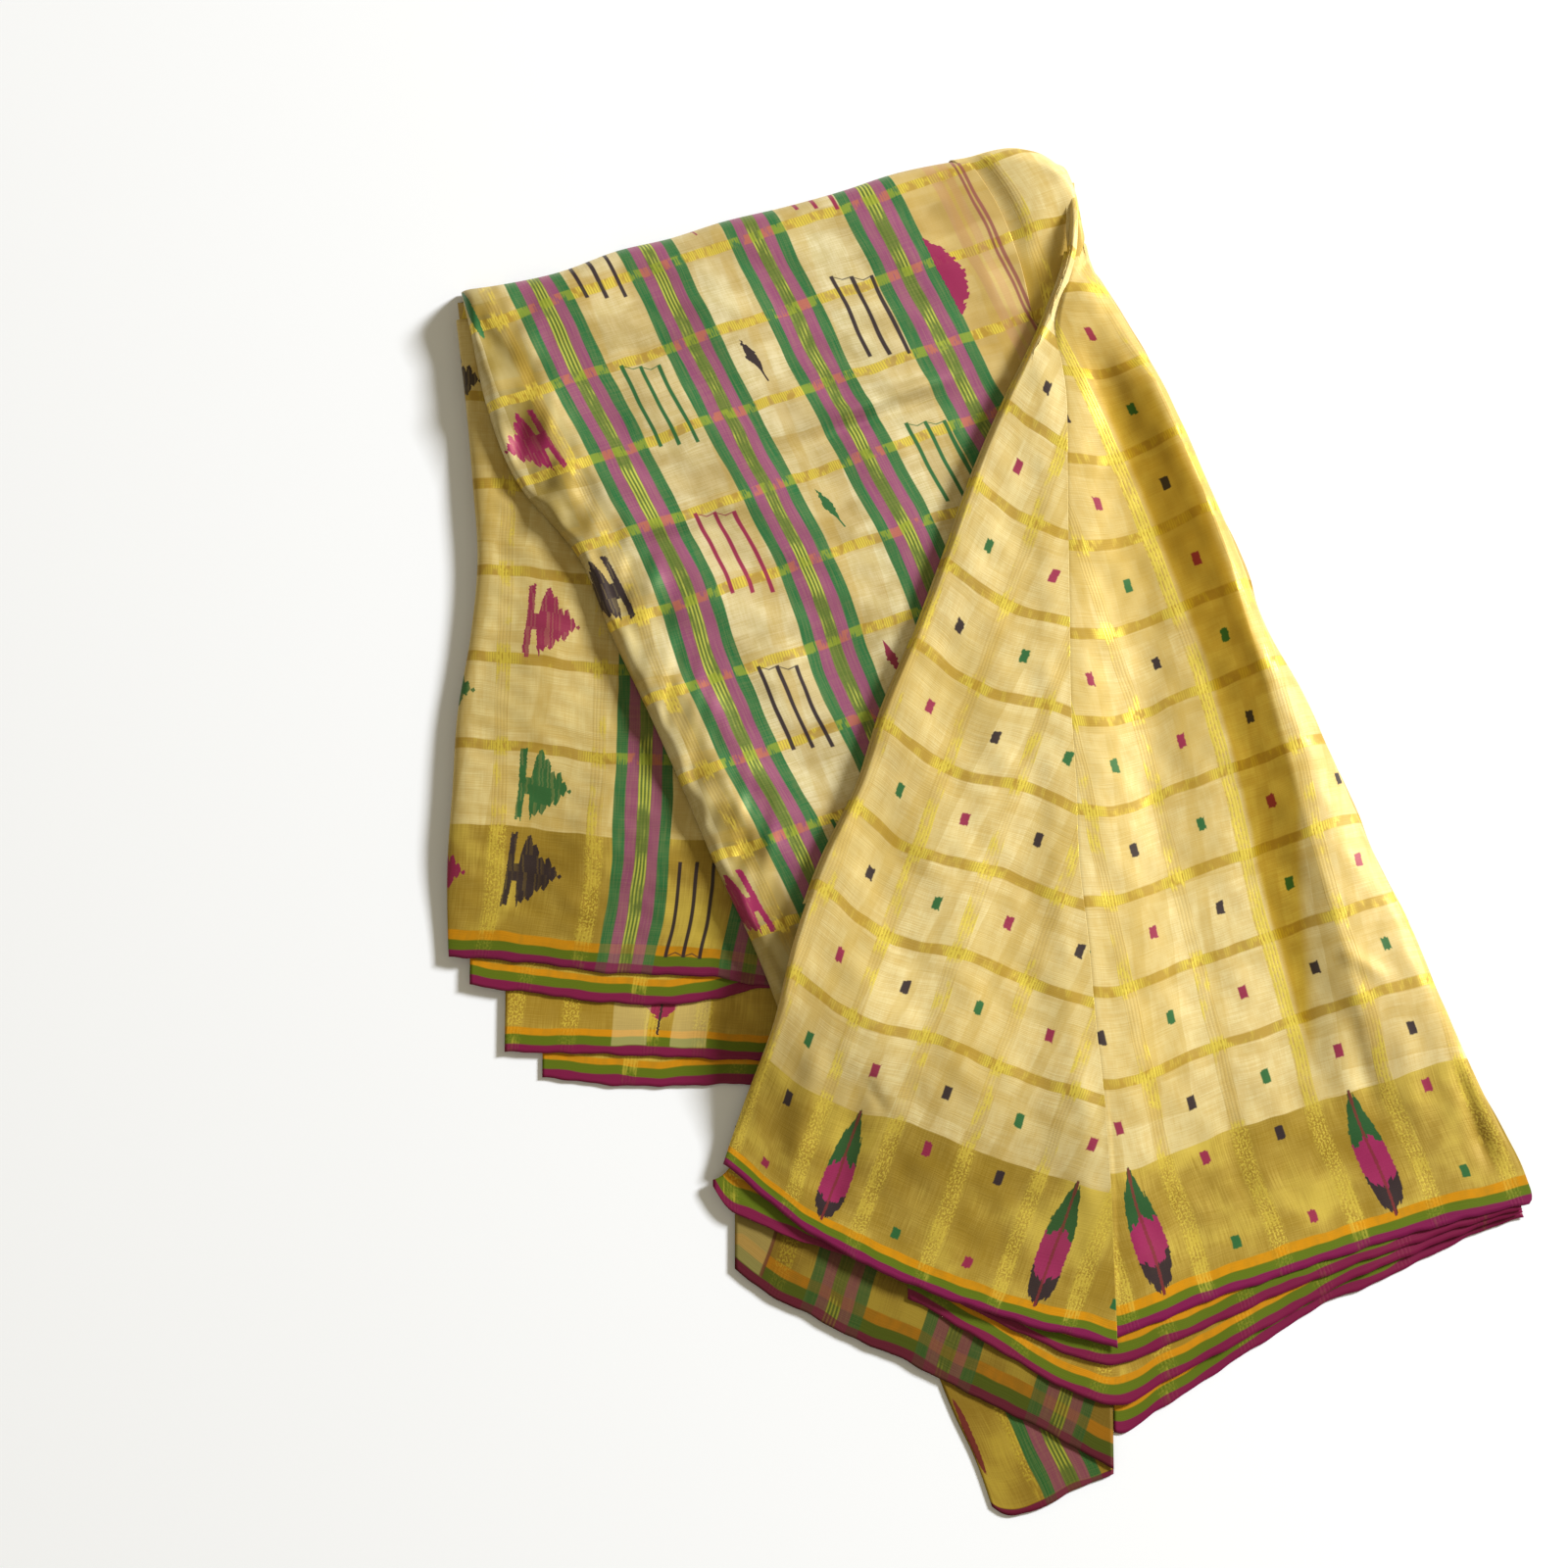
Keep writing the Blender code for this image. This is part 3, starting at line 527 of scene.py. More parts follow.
def fanLeftCloth(x, y):
    landing, run = downToHem(x, y, drape["fanLean"], fanHem["left"])
    lift = 5 + 16 * eased((-60 - landing) / 60)
    return 1.03 * (leftArc(landing) - leftArc(-120)), 1.02 * run + lift * eased(run / 32)


def fanRightCloth(x, y):
    v = y - fanHem["right"](x)
    return (x - fanWarpLine(v)) / fanWarpPitch(v) * drape["fanCheck"] + 2 * drape["fanCheck"], v


def fanHemCloth(name):
    def cloth(x, y):
        v = (y - fanHem[name](x)) * 0.93
        return x - np.where(x < crease(y), drape["fanLean"], drape["fanRightLean"]) * v, v

    return cloth


def stripedHemCloth(x, y):
    landing, run = downToHem(x, y, drape["stripedHemLean"], stripedHem)
    return 0.94 * (stripedArc(landing) - stripedArc(-98)), 0.95 * run


def tailCloth(x, y):
    landing, run = downToHem(x, y, drape["tailLean"], tailHem)
    return 1.05 * (landing - 24), run


def cornerCloth(x, y):
    return x + 140, (y - cornerHem(x)) * 0.86


def linearColour(code):
    values = [int(code[i:i + 2], 16) / 255 for i in (0, 2, 4)]
    return tuple(v / 12.92 if v <= 0.04045 else ((v + 0.055) / 1.055) ** 2.4 for v in values) + (1.0,)


dyes = {name: linearColour(code) for name, code in {
    "cream": "DCC484", "creamPale": "F4E8B2", "creamDeep": "BC9A36", "silver": "D2C692",
    "silverPale": "F6F0CC", "border": "9A7C1E", "borderSheen": "CCB050", "marginGoldAndShade": "8A7624",
    "bar": "AE8A20", "zari": "FBE760", "zariDull": "B08A2E", "orange": "D29006", "olive": "5C7114",
    "magenta": "7C064E", "rose": "961A50", "green": "12683C", "dark": "241A30", "featherRose": "9C1860",
    "featherGreen": "0E5632", "leafRose": "980E5A", "stripeGreen": "1C7042", "stripeMauve": "944C78",
    "stripeMiddle": "547030", "stripeLine": "D6DE5E", "spotGreen": "9CAE34", "spotMauve": "C8784E",
    "vein": "7A2034", "faintMauve": "C08C70", "edgeMauve": "8C4050",
}.items()}


class Spread:  # a number that changes over the cloth, so that shader sums read as sums
    def __init__(self, maker, socket):
        self.maker, self.socket = maker, socket

    def math(self, operation, *others):
        return self.maker.add("ShaderNodeMath", {"operation": operation}, dict(enumerate((self, *others))))

    def flipped(self, operation, other):
        return self.maker.add("ShaderNodeMath", {"operation": operation}, {0: other, 1: self})

    def larger(self, other):
        return self.math("MAXIMUM", other)

    __add__ = __radd__ = lambda self, other: self.math("ADD", other)
    __sub__ = lambda self, other: self.math("SUBTRACT", other)
    __rsub__ = lambda self, other: self.flipped("SUBTRACT", other)
    __mul__ = __rmul__ = lambda self, other: self.math("MULTIPLY", other)
    __truediv__ = lambda self, other: self.math("DIVIDE", other)
    __rtruediv__ = lambda self, other: self.flipped("DIVIDE", other)
    __mod__ = lambda self, other: self.math("FLOORED_MODULO", other)
    __lt__ = lambda self, other: self.math("LESS_THAN", other)
    __gt__ = lambda self, other: self.math("GREATER_THAN", other)
    __abs__ = lambda self: self.math("ABSOLUTE")


class ClothShader:
    def __init__(self, name):
        self.material = bpy.data.materials.new(name)
        self.material.use_nodes = True
        self.tree = self.material.node_tree
        self.shader = self.tree.nodes["Principled BSDF"]

    def add(self, kind, settings=None, values=None, out=0):
        node = self.tree.nodes.new(kind)
        for name, value in (settings or {}).items():
            setattr(node, name, value)
        for key, value in (values or {}).items():
            if isinstance(value, Spread):
                self.tree.links.new(value.socket, node.inputs[key])
            else:
                node.inputs[key].default_value = value
        outputs = [Spread(self, socket) for socket in node.outputs]
        return outputs if out == "all" else outputs[out]

    def split(self, vector):
        return self.add("ShaderNodeSeparateXYZ", None, {0: vector}, "all")

    def mix(self, first, second, factor):  # each is a colour, or the name of a dye
        first, second = (dyes[one] if isinstance(one, str) else one for one in (first, second))
        return self.add("ShaderNodeMix", {"data_type": "RGBA"}, {0: factor, 6: first, 7: second}, out=2)

    def paint(self, dye, factor):  # over what the cloth has so far
        self.colour = self.mix(self.colour, dye, factor)

    def shade(self, by, factor=1.0):
        self.colour = self.add("ShaderNodeMix", {"data_type": "RGBA", "blend_type": "MULTIPLY"},
                               {0: factor, 6: self.colour, 7: by}, out=2)

    def vector(self, x, y, z=0.0):
        return self.add("ShaderNodeCombineXYZ", None, {0: x, 1: y, 2: z})

    def noise(self, x, y, seed=0.0, detail=1.0, out=0):
        return self.add("ShaderNodeTexNoise", None,
                        {"Vector": self.vector(x, y, seed), "Scale": 1.0, "Detail": detail}, out)

    def chance(self, x, y, seed=0.0):
        return self.add("ShaderNodeTexWhiteNoise", None, {"Vector": self.vector(x, y, seed)})

    def floor(self, value):
        return value.math("FLOOR")

    def step(self, value, edge, soft, low, high):
        return self.add("ShaderNodeMapRange", {"interpolation_type": "SMOOTHSTEP"},
                        {0: value, 1: edge - soft, 2: edge + soft, 3: low, 4: high})

    def above(self, value, edge, soft=0.25):
        return self.step(value, edge, soft, 0.0, 1.0)

    def below(self, value, edge, soft=0.25):
        return self.step(value, edge, soft, 1.0, 0.0)

    def within(self, value, middle, half, soft=0.25):
        return self.below(abs(value - middle), half, soft)

    def near(self, value, half, soft=0.25):
        return self.below(abs(value), half, soft)

    def patches(self, x, y, seed, edge, soft, detail=1.0):
        return self.above(self.noise(x, y, seed, detail), edge, soft)

    def repeat(self, value, first, pitch):  # which repeat this is, and how far from its middle
        number = self.floor(value / pitch + (0.5 - first / pitch))
        return number, value - number * pitch - first

    def ladder(self, value, rungs):  # a number that jumps at each rung: (0, first), (from, next) and so on
        total = rungs[0][1]
        for (edge, after), before in zip(rungs[1:], rungs):
            total = total + (value > edge) * (after - before[1])
        return total

    def pick(self, number, *colours):
        colour = colours[0]
        for i, other in enumerate(colours[1:]):
            colour = self.mix(colour, other, number > i + 0.5)
        return colour

    def finish(self, values):
        for name, value in values.items():
            if isinstance(value, Spread):
                self.tree.links.new(value.socket, self.shader.inputs[name])
            else:
                self.shader.inputs[name].default_value = value


weave = {
    "stepHigh": 0.85,  # motif edges follow steps of the weft this high
    "stepShift": 0.25,
    "checkPitch": 39.0,  # from one group of zari threads to the next
    "zariHalf": 3.7,
    "barPitch": 45.6,
    "barHalf": 2.8,
    "threadPitch": 1.8,
    "bandPitch": 58.0,
    "bandWidth": 29.5,
}


def jag(m, along, size, seed):  # one woven step after another, so that edges aren't straight
    return (m.chance(m.floor(along / size), seed) - 0.5) * 2


dots = {
    "field": (100.0, 45.4),  # the first row above the border, and from row to row
    "border": (24.0, 46.0),
    "borderTop": 85.0,
    "lowest": 12.0,
    "halfWide": 2.1,
    "halfHigh": 3.8,
}


def dotMotif(m, u, v, look):
    column, acrossU = m.repeat(u, 0.0, weave["checkPitch"])
    low = v < dots["borderTop"]
    row, upV = m.repeat(v, *dots["field"])
    lowRow, lowV = m.repeat(v, *dots["border"])
    number = (row + 2) * (1 - low) + lowRow * low
    up = upV * (1 - low) + lowV * low
    tooth = m.chance(m.floor(u / 1.1), number, 5.0)
    across = acrossU + jag(m, v, 1.3, 3.0) * 0.25
    high = m.below(abs(up - 0.4) + tooth * 0.8, dots["halfHigh"], 0.4)
    shape = m.within(across, 0.0, dots["halfWide"], 0.4) * high
    featherColumn = m.within(column % 3.0, 1.0, 0.4, 0.1) * low
    shape = shape * (1 - featherColumn) * (v > dots["lowest"])
    return shape, m.pick((number + column) % 3.0, "rose", "dark", "green")


feather = {
    "widestAt": 36.0,
    "below": 24.0,  # how far it reaches down and up from there
    "above": 43.0,
    "half": 7.7,
    "vein": (46.0, 34.5),
    "darkTo": 25.5,
    "greenFrom": 54.5,
    "zig": 4.0,
}


def featherMotif(m, u, v, look):
    number, across = m.repeat(u, weave["checkPitch"], 3 * weave["checkPitch"])
    away = abs(across)
    zig = (m.chance(m.floor(u / 1.3), number, 4.0) - 0.5) * feather["zig"]
    up = v + zig
    reach = m.ladder(up, ((0, feather["below"]), (feather["widestAt"], feather["above"])))
    widest = (up - feather["widestAt"]) / reach
    half = feather["half"] * (1 - (widest * widest * abs(widest)))
    body = m.below(away - half + jag(m, v, 1.1, 7.0) * 0.3, 0.0, 0.3)
    vein = m.below(away + jag(m, v, 0.8, 1.0) * 0.2, 0.7, 0.25) * m.within(v, *feather["vein"], 0.5)
    colour = m.mix("dark", "featherRose", m.above(v - away * 1.1 + zig, feather["darkTo"], 0.4))
    colour = m.mix(colour, "featherGreen", m.above(v + away * 0.5 + zig, feather["greenFrom"], 0.4))
    return body.larger(vein), m.mix(colour, "vein", vein * 0.8)


def treeMotif(m, u, v, look):  # an upright bar, then strokes that fall in length to a ragged point
    localU = u - m.ladder(v, look["treeU"])
    localV = v - m.ladder(v, look["treeV"])
    if "farTrees" in look:
        far = u < look["farTrees"]["before"]
        localU = localU * (1 - far) + (u - look["farTrees"]["at"]) * far
        localV = localV * (1 - far) + (v - m.ladder(v, look["farTrees"]["treeV"])) * far
    a = localU * look["facing"] - localV * 0.08
    stroke, inStroke = m.repeat(a, -4.6, 3.4)
    reach = (19.0 - (a + 5.5) * 0.85).math("MINIMUM", 4.0 + (a + 9.5) * 5.5)
    reach = reach - abs(inStroke) * 1.5 - m.chance(stroke, 3.0) * 3.5
    middle = (m.chance(stroke, 8.0) - 0.5) * 3.0
    body = m.below(abs(localV + middle) - reach, 0.0, 0.3) * m.within(a, 2.6, 12.0, 0.25)
    bar = m.within(a, -13.2, 1.7, 0.25) * m.below(abs(localV + jag(m, u, 1.3, 2.0) * 1.2), 18.5, 0.3)
    bridge = m.within(a, -10.4, 1.6, 0.2) * m.below(abs(localV + 1.0), 4.4, 0.3)
    shape = body.larger(bar).larger(bridge)
    shape = shape * (0.84 + 0.16 * m.above(m.chance(m.floor(u / 0.9), m.floor(v / 9.0)), 0.25, 0.2))
    colour = m.pick(m.ladder(v, look["treeDye"]), "dark", "green", "leafRose")
    if "farTrees" in look:
        farColour = m.pick(m.ladder(v, look["farTrees"]["treeDye"]), "dark", "green", "leafRose")
        colour = m.mix(colour, farColour, far)
    return shape, colour


def combMotif(m, u, v, look):  # three upright lines joined by one sagging thread, and slim leaves between
    gap, across = m.repeat(u, -14.4, weave["bandPitch"])
    row, up = m.repeat(v, look["firstComb"], 2 * weave["barPitch"])
    up = up - (gap > 2.5) * look["combLift"]
    inLeafGap = m.within(gap, 2.0, 0.4, 0.1)
    inCombGap = m.within(gap, 1.0, 0.4, 0.1).larger(m.within(gap, 3.0, 0.4, 0.1))
    combAcross = across - (gap > 2.5) * look["combShift"]
    line, fromLine = m.repeat(combAcross, 0.0, 8.4)
    reach = m.below(abs(up + line * look["combSlant"]), look["combHalf"], 0.4)
    lines = m.below(abs(fromLine), 0.95, 0.3) * (abs(line) < 1.5) * reach
    sag = (4.2 - abs(m.repeat(combAcross, 4.2, 8.4)[1])) * 0.45
    hang = (up + combAcross * look["combSlant"] / 8.4) * look["combUp"]
    joined = m.within(hang + sag, look["combHalf"] - 0.4, 0.35) * (abs(combAcross) < 8.6)
    comb = lines.larger(joined * 0.8) * inCombGap
    leafUp = up - 9.0
    leafU = across + 3.6 + leafUp * 0.2
    blade = abs(leafU + jag(m, v, 1.5, 5.0) * 0.5) / 3.0 + abs(leafUp) / 11.0
    stem = m.below(abs(leafU), 0.5, 0.2) * m.within(leafUp, -4.0, 11.0, 0.3)
    leaf = m.below(blade, 1.0, 0.05).larger(stem) * inLeafGap
    return comb.larger(leaf), m.pick((row + (gap > 1.5)) % 3.0, "dark", "rose", "green")


def tipMotif(m, u, v, look):  # the end of a leaf that comes out from under the layer above
    down = (look["tip"][1] - v) / look["tip"][3]
    across = u - look["tip"][0]
    blade = m.below(abs(across + jag(m, v, 1.2, 2.0)) - (1 - down) * look["tip"][2], 0.0, 0.3)
    vein = m.below(abs(across), 0.6, 0.2) * (down < 1.5)
    return blade.larger(vein) * (down > 0.0), m.mix("leafRose", "dark", vein)


def halfLeafMotif(m, u, v, look):  # a serrated leaf that starts at the last stripe
    up = (v - look["halfLeaf"][1]) / look["halfLeaf"][3]
    saw = m.chance(m.floor(v / 1.7), 9.0) * 2.4
    reach = look["halfLeaf"][2] * (1 - up * up)
    across = u - look["halfLeaf"][0]
    return m.below(across + saw - reach, 0.0, 0.3) * (across > 0.0) * (abs(up) < 1.0), "leafRose"


def sliverMotif(m, u, v, look):  # a slim shape that a fold leaves of a motif or stripe
    across = (u - look["sliver"][0]) / look["sliver"][2]
    up = (v - look["sliver"][1]) / look["sliver"][3]
    return m.below(across * across + up * up, 1.0, 0.1), dyes[look["sliver"][4]]


motifs = {
    "sliver": sliverMotif, "dots": dotMotif, "feathers": featherMotif, "trees": treeMotif, "combs": combMotif,
    "tip": tipMotif, "halfLeaf": halfLeafMotif,
}
steppedMotifs = ("trees", "tip", "halfLeaf", "sliver")  # their sides follow the steps of the weft
plainLook = {  # what a look has unless it says otherwise
    "ground": ("cream", "creamPale"), "under": (14.0, 21.0), "border": 0.0, "bandPitch": weave["bandPitch"],
    "bandCover": 1.0, "zariFrom": 0.5 * weave["checkPitch"], "shineFrom": 0.56, "barGlow": 0.3, "barDye": 0.8,
    "motifs": (), "lines": (), "combLift": 0.0, "combShift": 0.0, "relief": 0.25,
}
finish = {  # the same over every cloth
    "Sheen Weight": 0.05, "Sheen Roughness": 0.4, "Sheen Tint": (1.0, 0.84, 0.42, 1.0),
    "Specular Tint": (1.0, 0.86, 0.5, 1.0), "Specular IOR Level": 0.4,
}


def sariCloth(name, look):
    look = {**plainLook, **look}
    m = ClothShader(name)
    seed, rim = look["seed"], look["border"]
    place = m.split(m.add("ShaderNodeUVMap", {"uv_map": "cloth"}))
    flatU, flatV = place[0] * 1000, place[1] * 1000
    wander = m.split(m.noise(flatU * 0.045, flatV * 0.03, seed, out=1))
    u = flatU + (wander[0] - 0.5) * 3.0
    v = flatV + (wander[1] - 0.5) * 4.0
    motifU = u + jag(m, v, weave["stepHigh"], seed) * weave["stepShift"]

    # the ground, woven unevenly, with the layer beneath showing faintly through
    weft = m.noise(u * 0.05, v * 2.3, seed + 1)
    warp = m.noise(u * 1.7, v * 0.05, seed + 2)
    cloud = m.noise(u * 0.022, v * 0.022, seed + 3, 3.0)
    glint = m.noise(u * 0.24, v * 0.1, seed + 4, 2.0)
    light = m.above(weft * 0.3 + warp * 0.14 + cloud * 0.32 + glint * 0.24, 0.5, 0.11)
    m.colour = m.mix(*look["ground"], light * 0.75)
    underU = u - v * 0.11 + look["under"][0]
    underV = v + u * 0.08 + look["under"][1]
    column, fromThread = m.repeat(underU, 0.0, weave["checkPitch"])
    fromBar = m.repeat(underV, 0.0, weave["barPitch"])[1]
    tone = m.chance(column, m.floor(underV / 115.0), seed + 5)
    dim = m.above(tone, 0.5, 0.2)
    m.paint("creamDeep", dim * 0.26 + m.above(cloud, 0.54, 0.2) * 0.34)
    if "warmFrom" in look:
        warm = m.above(u, look["warmFrom"], 1.5)
        m.paint("cream", warm * 0.6)
        m.paint("creamDeep", warm * 0.42)
        # painted shade: soft darker patches over the striped panel where its folds would lie in shade
        foldShadePatches = m.patches(u * 0.024, v * 0.034, seed + 12, 0.5, 0.07, 2.0)
        m.shade((0.76, 0.7, 0.56, 1.0), foldShadePatches * 0.75)
    # painted shade: on the top turn this darkens the part the fan shades; on the fan's right panel it darkens
    # the upper part, partly the layers beneath showing through and partly painted shade
    if "golden" in look:
        edge, soft, wide, depth = look["golden"]
        m.paint("creamDeep", m.above(v + (cloud - 0.5) * wide, edge, soft) * depth)
    if "margin" in look:
        edge, depth = look["margin"]
        # darker gold in the margin: partly the layers beneath showing through, partly painted crumple shade;
        # the silvery patches are painted highlights on the crumples
        inMargin = m.below(u, edge, 3.0)
        m.paint("marginGoldAndShade", inMargin * m.above(cloud * 0.7 + tone * 0.3, 0.4, 0.2) * depth)
        crumpleHighlights = m.patches(u * 0.07, v * 0.03, seed + 9, 0.54, 0.16, 2.0)
        m.paint("silver", inMargin * crumpleHighlights * 0.45)
    under = m.near(fromThread, 3.4, 0.8).larger(m.near(fromBar, 3.0, 0.8) * 0.8)
    m.paint("creamDeep", under * 0.3)

    # the gold border along the hem, with painted sheen patches and painted glints
    if rim:
        sheenPatches = m.above(weft * 0.12 + warp * 0.2 + cloud * 0.68, 0.5, 0.14)
        gold = m.mix(m.mix("border", "borderSheen", sheenPatches * 0.8), "border", dim * 0.3)
        gold = m.mix(gold, "zari", m.above(warp * 0.14 + cloud * 0.86, 0.56, 0.08) * 0.3)
        inBorder = m.below(v, rim, 0.3)
        m.paint(gold, inBorder * 0.95)

    # gold bars across, and groups of four zari threads down the cloth, both with painted glints
    shine = m.above(glint, look["shineFrom"], 0.08)
    fromBar = m.repeat(v, look["bars"], weave["barPitch"])[1]
    bar = m.near(fromBar, weave["barHalf"], 0.45)
    if rim:
        bar = bar * (v > rim + 4.0)
    if "zariAt" in look:
        fromZari = abs(u - m.ladder(u, look["zariAt"]))
    else:
        fromZari = abs(m.repeat(u, look["zariFrom"], weave["checkPitch"])[1])
    group = m.below(fromZari, weave["zariHalf"], 0.3)
    threads = group * m.near(m.repeat(u, 0.9, weave["threadPitch"])[1], 0.5, 0.2)
    # painted glints: patches where the zari catches the light, more of them near the bars and on the ridge's
    # flank
    glinting = m.above(m.noise(u * 0.035, v * 0.03, seed + 6) * 0.6 + glint * 0.4, 0.56, 0.05)
    glinting = glinting.larger(m.near(fromBar, 5.0, 1.5) * m.above(glint, 0.46, 0.06))
    if "flank" in look:
        onFlank = m.within(u, look["flank"][0], 12.0) * m.above(v, 90.0, 20.0)
        glinting = glinting.larger(onFlank * m.above(cloud, 0.42, 0.05))
    crossing = bar * m.below(fromZari, 8.5, 3.0)
    # painted glints on the bars, brightest where they cross the zari
    barShine = (shine * look["barGlow"]).larger(crossing * m.above(glint, 0.42, 0.08) * 0.8)
    hatch = m.within(m.repeat(u, 0.0, 1.3)[1], 0.0, 0.4, 0.2)
    m.paint("bar", bar * look["barDye"])
    m.paint("zari", bar * barShine * (0.35 + hatch * 0.6))
    m.paint("zariDull", group * (0.22 + glinting * 0.3))
    # painted glints: bright foil patches over the zari groups; the faint thread lines are the zari's own
    # colour
    foilGlints = group * glinting * m.patches(u * 0.5, v * 0.42, seed + 8, 0.48, 0.08)
    threadsAndGlints = (threads * (0.05 + glinting * 0.75)).larger(foilGlints * 0.65)
    if rim:
        # painted glints scattered over the border's zari
        glitter = m.below(fromZari, 4.2, 1.4) * m.patches(u * 1.1, v * 0.8, seed + 10, 0.53, 0.06)
        glitter = glitter * (0.25 + 0.75 * m.above(v, 14.0, 1.0))
        threadsAndGlints = (threadsAndGlints * (1 - inBorder * 0.35)).larger(glitter * inBorder * 0.62)
    m.paint("zari", threadsAndGlints * 0.9)
    metal = threadsAndGlints.larger(bar * barShine)

    # orange, olive and magenta along the very edge
    if "hem" in look:
        magentaTop, oliveTop, orangeTop = look["hem"]
        lines = m.mix("orange", "border", m.above(cloud * 0.5 + glint * 0.5, 0.52, 0.12) * 0.4)
        lines = m.mix(lines, "olive", m.below(v, oliveTop, 0.4))
        # painted glints of the zari across the hem lines
        lines = m.mix(lines, "zari", threadsAndGlints * 0.6)
        magenta = m.below(v, magentaTop, 0.35)
        lines = m.mix(lines, "magenta", magenta * (1 - threadsAndGlints * 0.25))
        inHem = m.below(v, orangeTop, 0.4)
        m.paint(lines, inHem)
        metal = metal * (1 - inHem * 0.6)

    # bands of green, mauve and olive, with fine yellow lines in the middle
    if "bands" in look:
        half = 0.5 * weave["bandWidth"]
        number, across = m.repeat(u, half, look["bandPitch"])
        away = abs(across)
        band = m.below(away, half, 0.3) * (number > -0.5) * (number < look["bands"] - 0.5)
        if "hem" in look:
            band = band * (1 - magenta * 0.7) * (1 - inHem * 0.2)
        stripes = m.mix("stripeMiddle", "stripeMauve", m.above(away, 3.3, 0.35))
        stripes = m.mix(stripes, "stripeGreen", m.above(away, 8.9, 0.35))
        fine = m.near(m.repeat(across, 0.9, weave["threadPitch"])[1], 0.4, 0.2) * m.below(away, 3.4, 0.15)
        # painted glints: the fine yellow lines show bright only in patches
        lineGlints = m.above(m.noise(u * 0.03, v * 0.035, seed + 7) * 0.7 + glint * 0.3, 0.53, 0.07)
        stripes = m.mix(stripes, "stripeLine", fine * (0.06 + lineGlints * 0.74))
        stripes = m.mix(stripes, "cream", m.above(warp * 0.6 + weft * 0.4, 0.52, 0.2) * 0.14)
        spot = m.mix("spotGreen", "spotMauve", m.within(away, 6.1, 2.8, 0.3))
        stripes = m.mix(stripes, spot, bar * m.above(glint + hatch * 0.08, 0.5, 0.06) * 0.62)
        m.paint(stripes, band * look["bandCover"])
        metal = metal * (1 - band) + band * fine * lineGlints * 0.3

    # motifs of extra thread laid in over the weave
    for kind in look["motifs"]:
        shape, dye = motifs[kind](m, motifU if kind in steppedMotifs else u, v, look)
        m.paint(dye, shape * 0.96)
        metal = metal * (1 - shape)
    for at, half, strength, dye in look["lines"]:
        m.paint(dye, m.within(u, at, half, 0.4) * m.above(v, 5.0, 0.4) * strength)

    if "shaded" in look:
        m.shade(look["shaded"])
    if "flank" in look:  # painted shade: the flank that faces away from the lamp turns a darker gold as it climbs to the ridge
        low, crest, flankShade = look["flank"]
        narrow = (230.0 - v).larger(0.0) * 0.21  # the painted shade ends further left towards the hem
        shadedClimb = m.above(u, low + 5.0, 2.5) * m.below(u + narrow, crest, 4.5)
        m.shade(flankShade, shadedClimb * m.above(v, 105.0, 25.0) * m.below(v, 500.0, 40.0))
        # painted shade: the cloth beyond the crest, which faces the lamp, is toned down
        m.shade((0.94, 0.935, 0.97, 1.0), m.above(u, crest + 5.0, 4.0))
    bump = m.add("ShaderNodeBump", None, {
        "Strength": look["relief"], "Distance": 0.0004, "Height": weft + threads * 0.35})
    m.finish({**finish, "Base Color": m.colour, "Metallic": 0.05 + metal * 0.35,
              "Roughness": 0.5 - metal * 0.15, "Normal": bump})
    return m.material


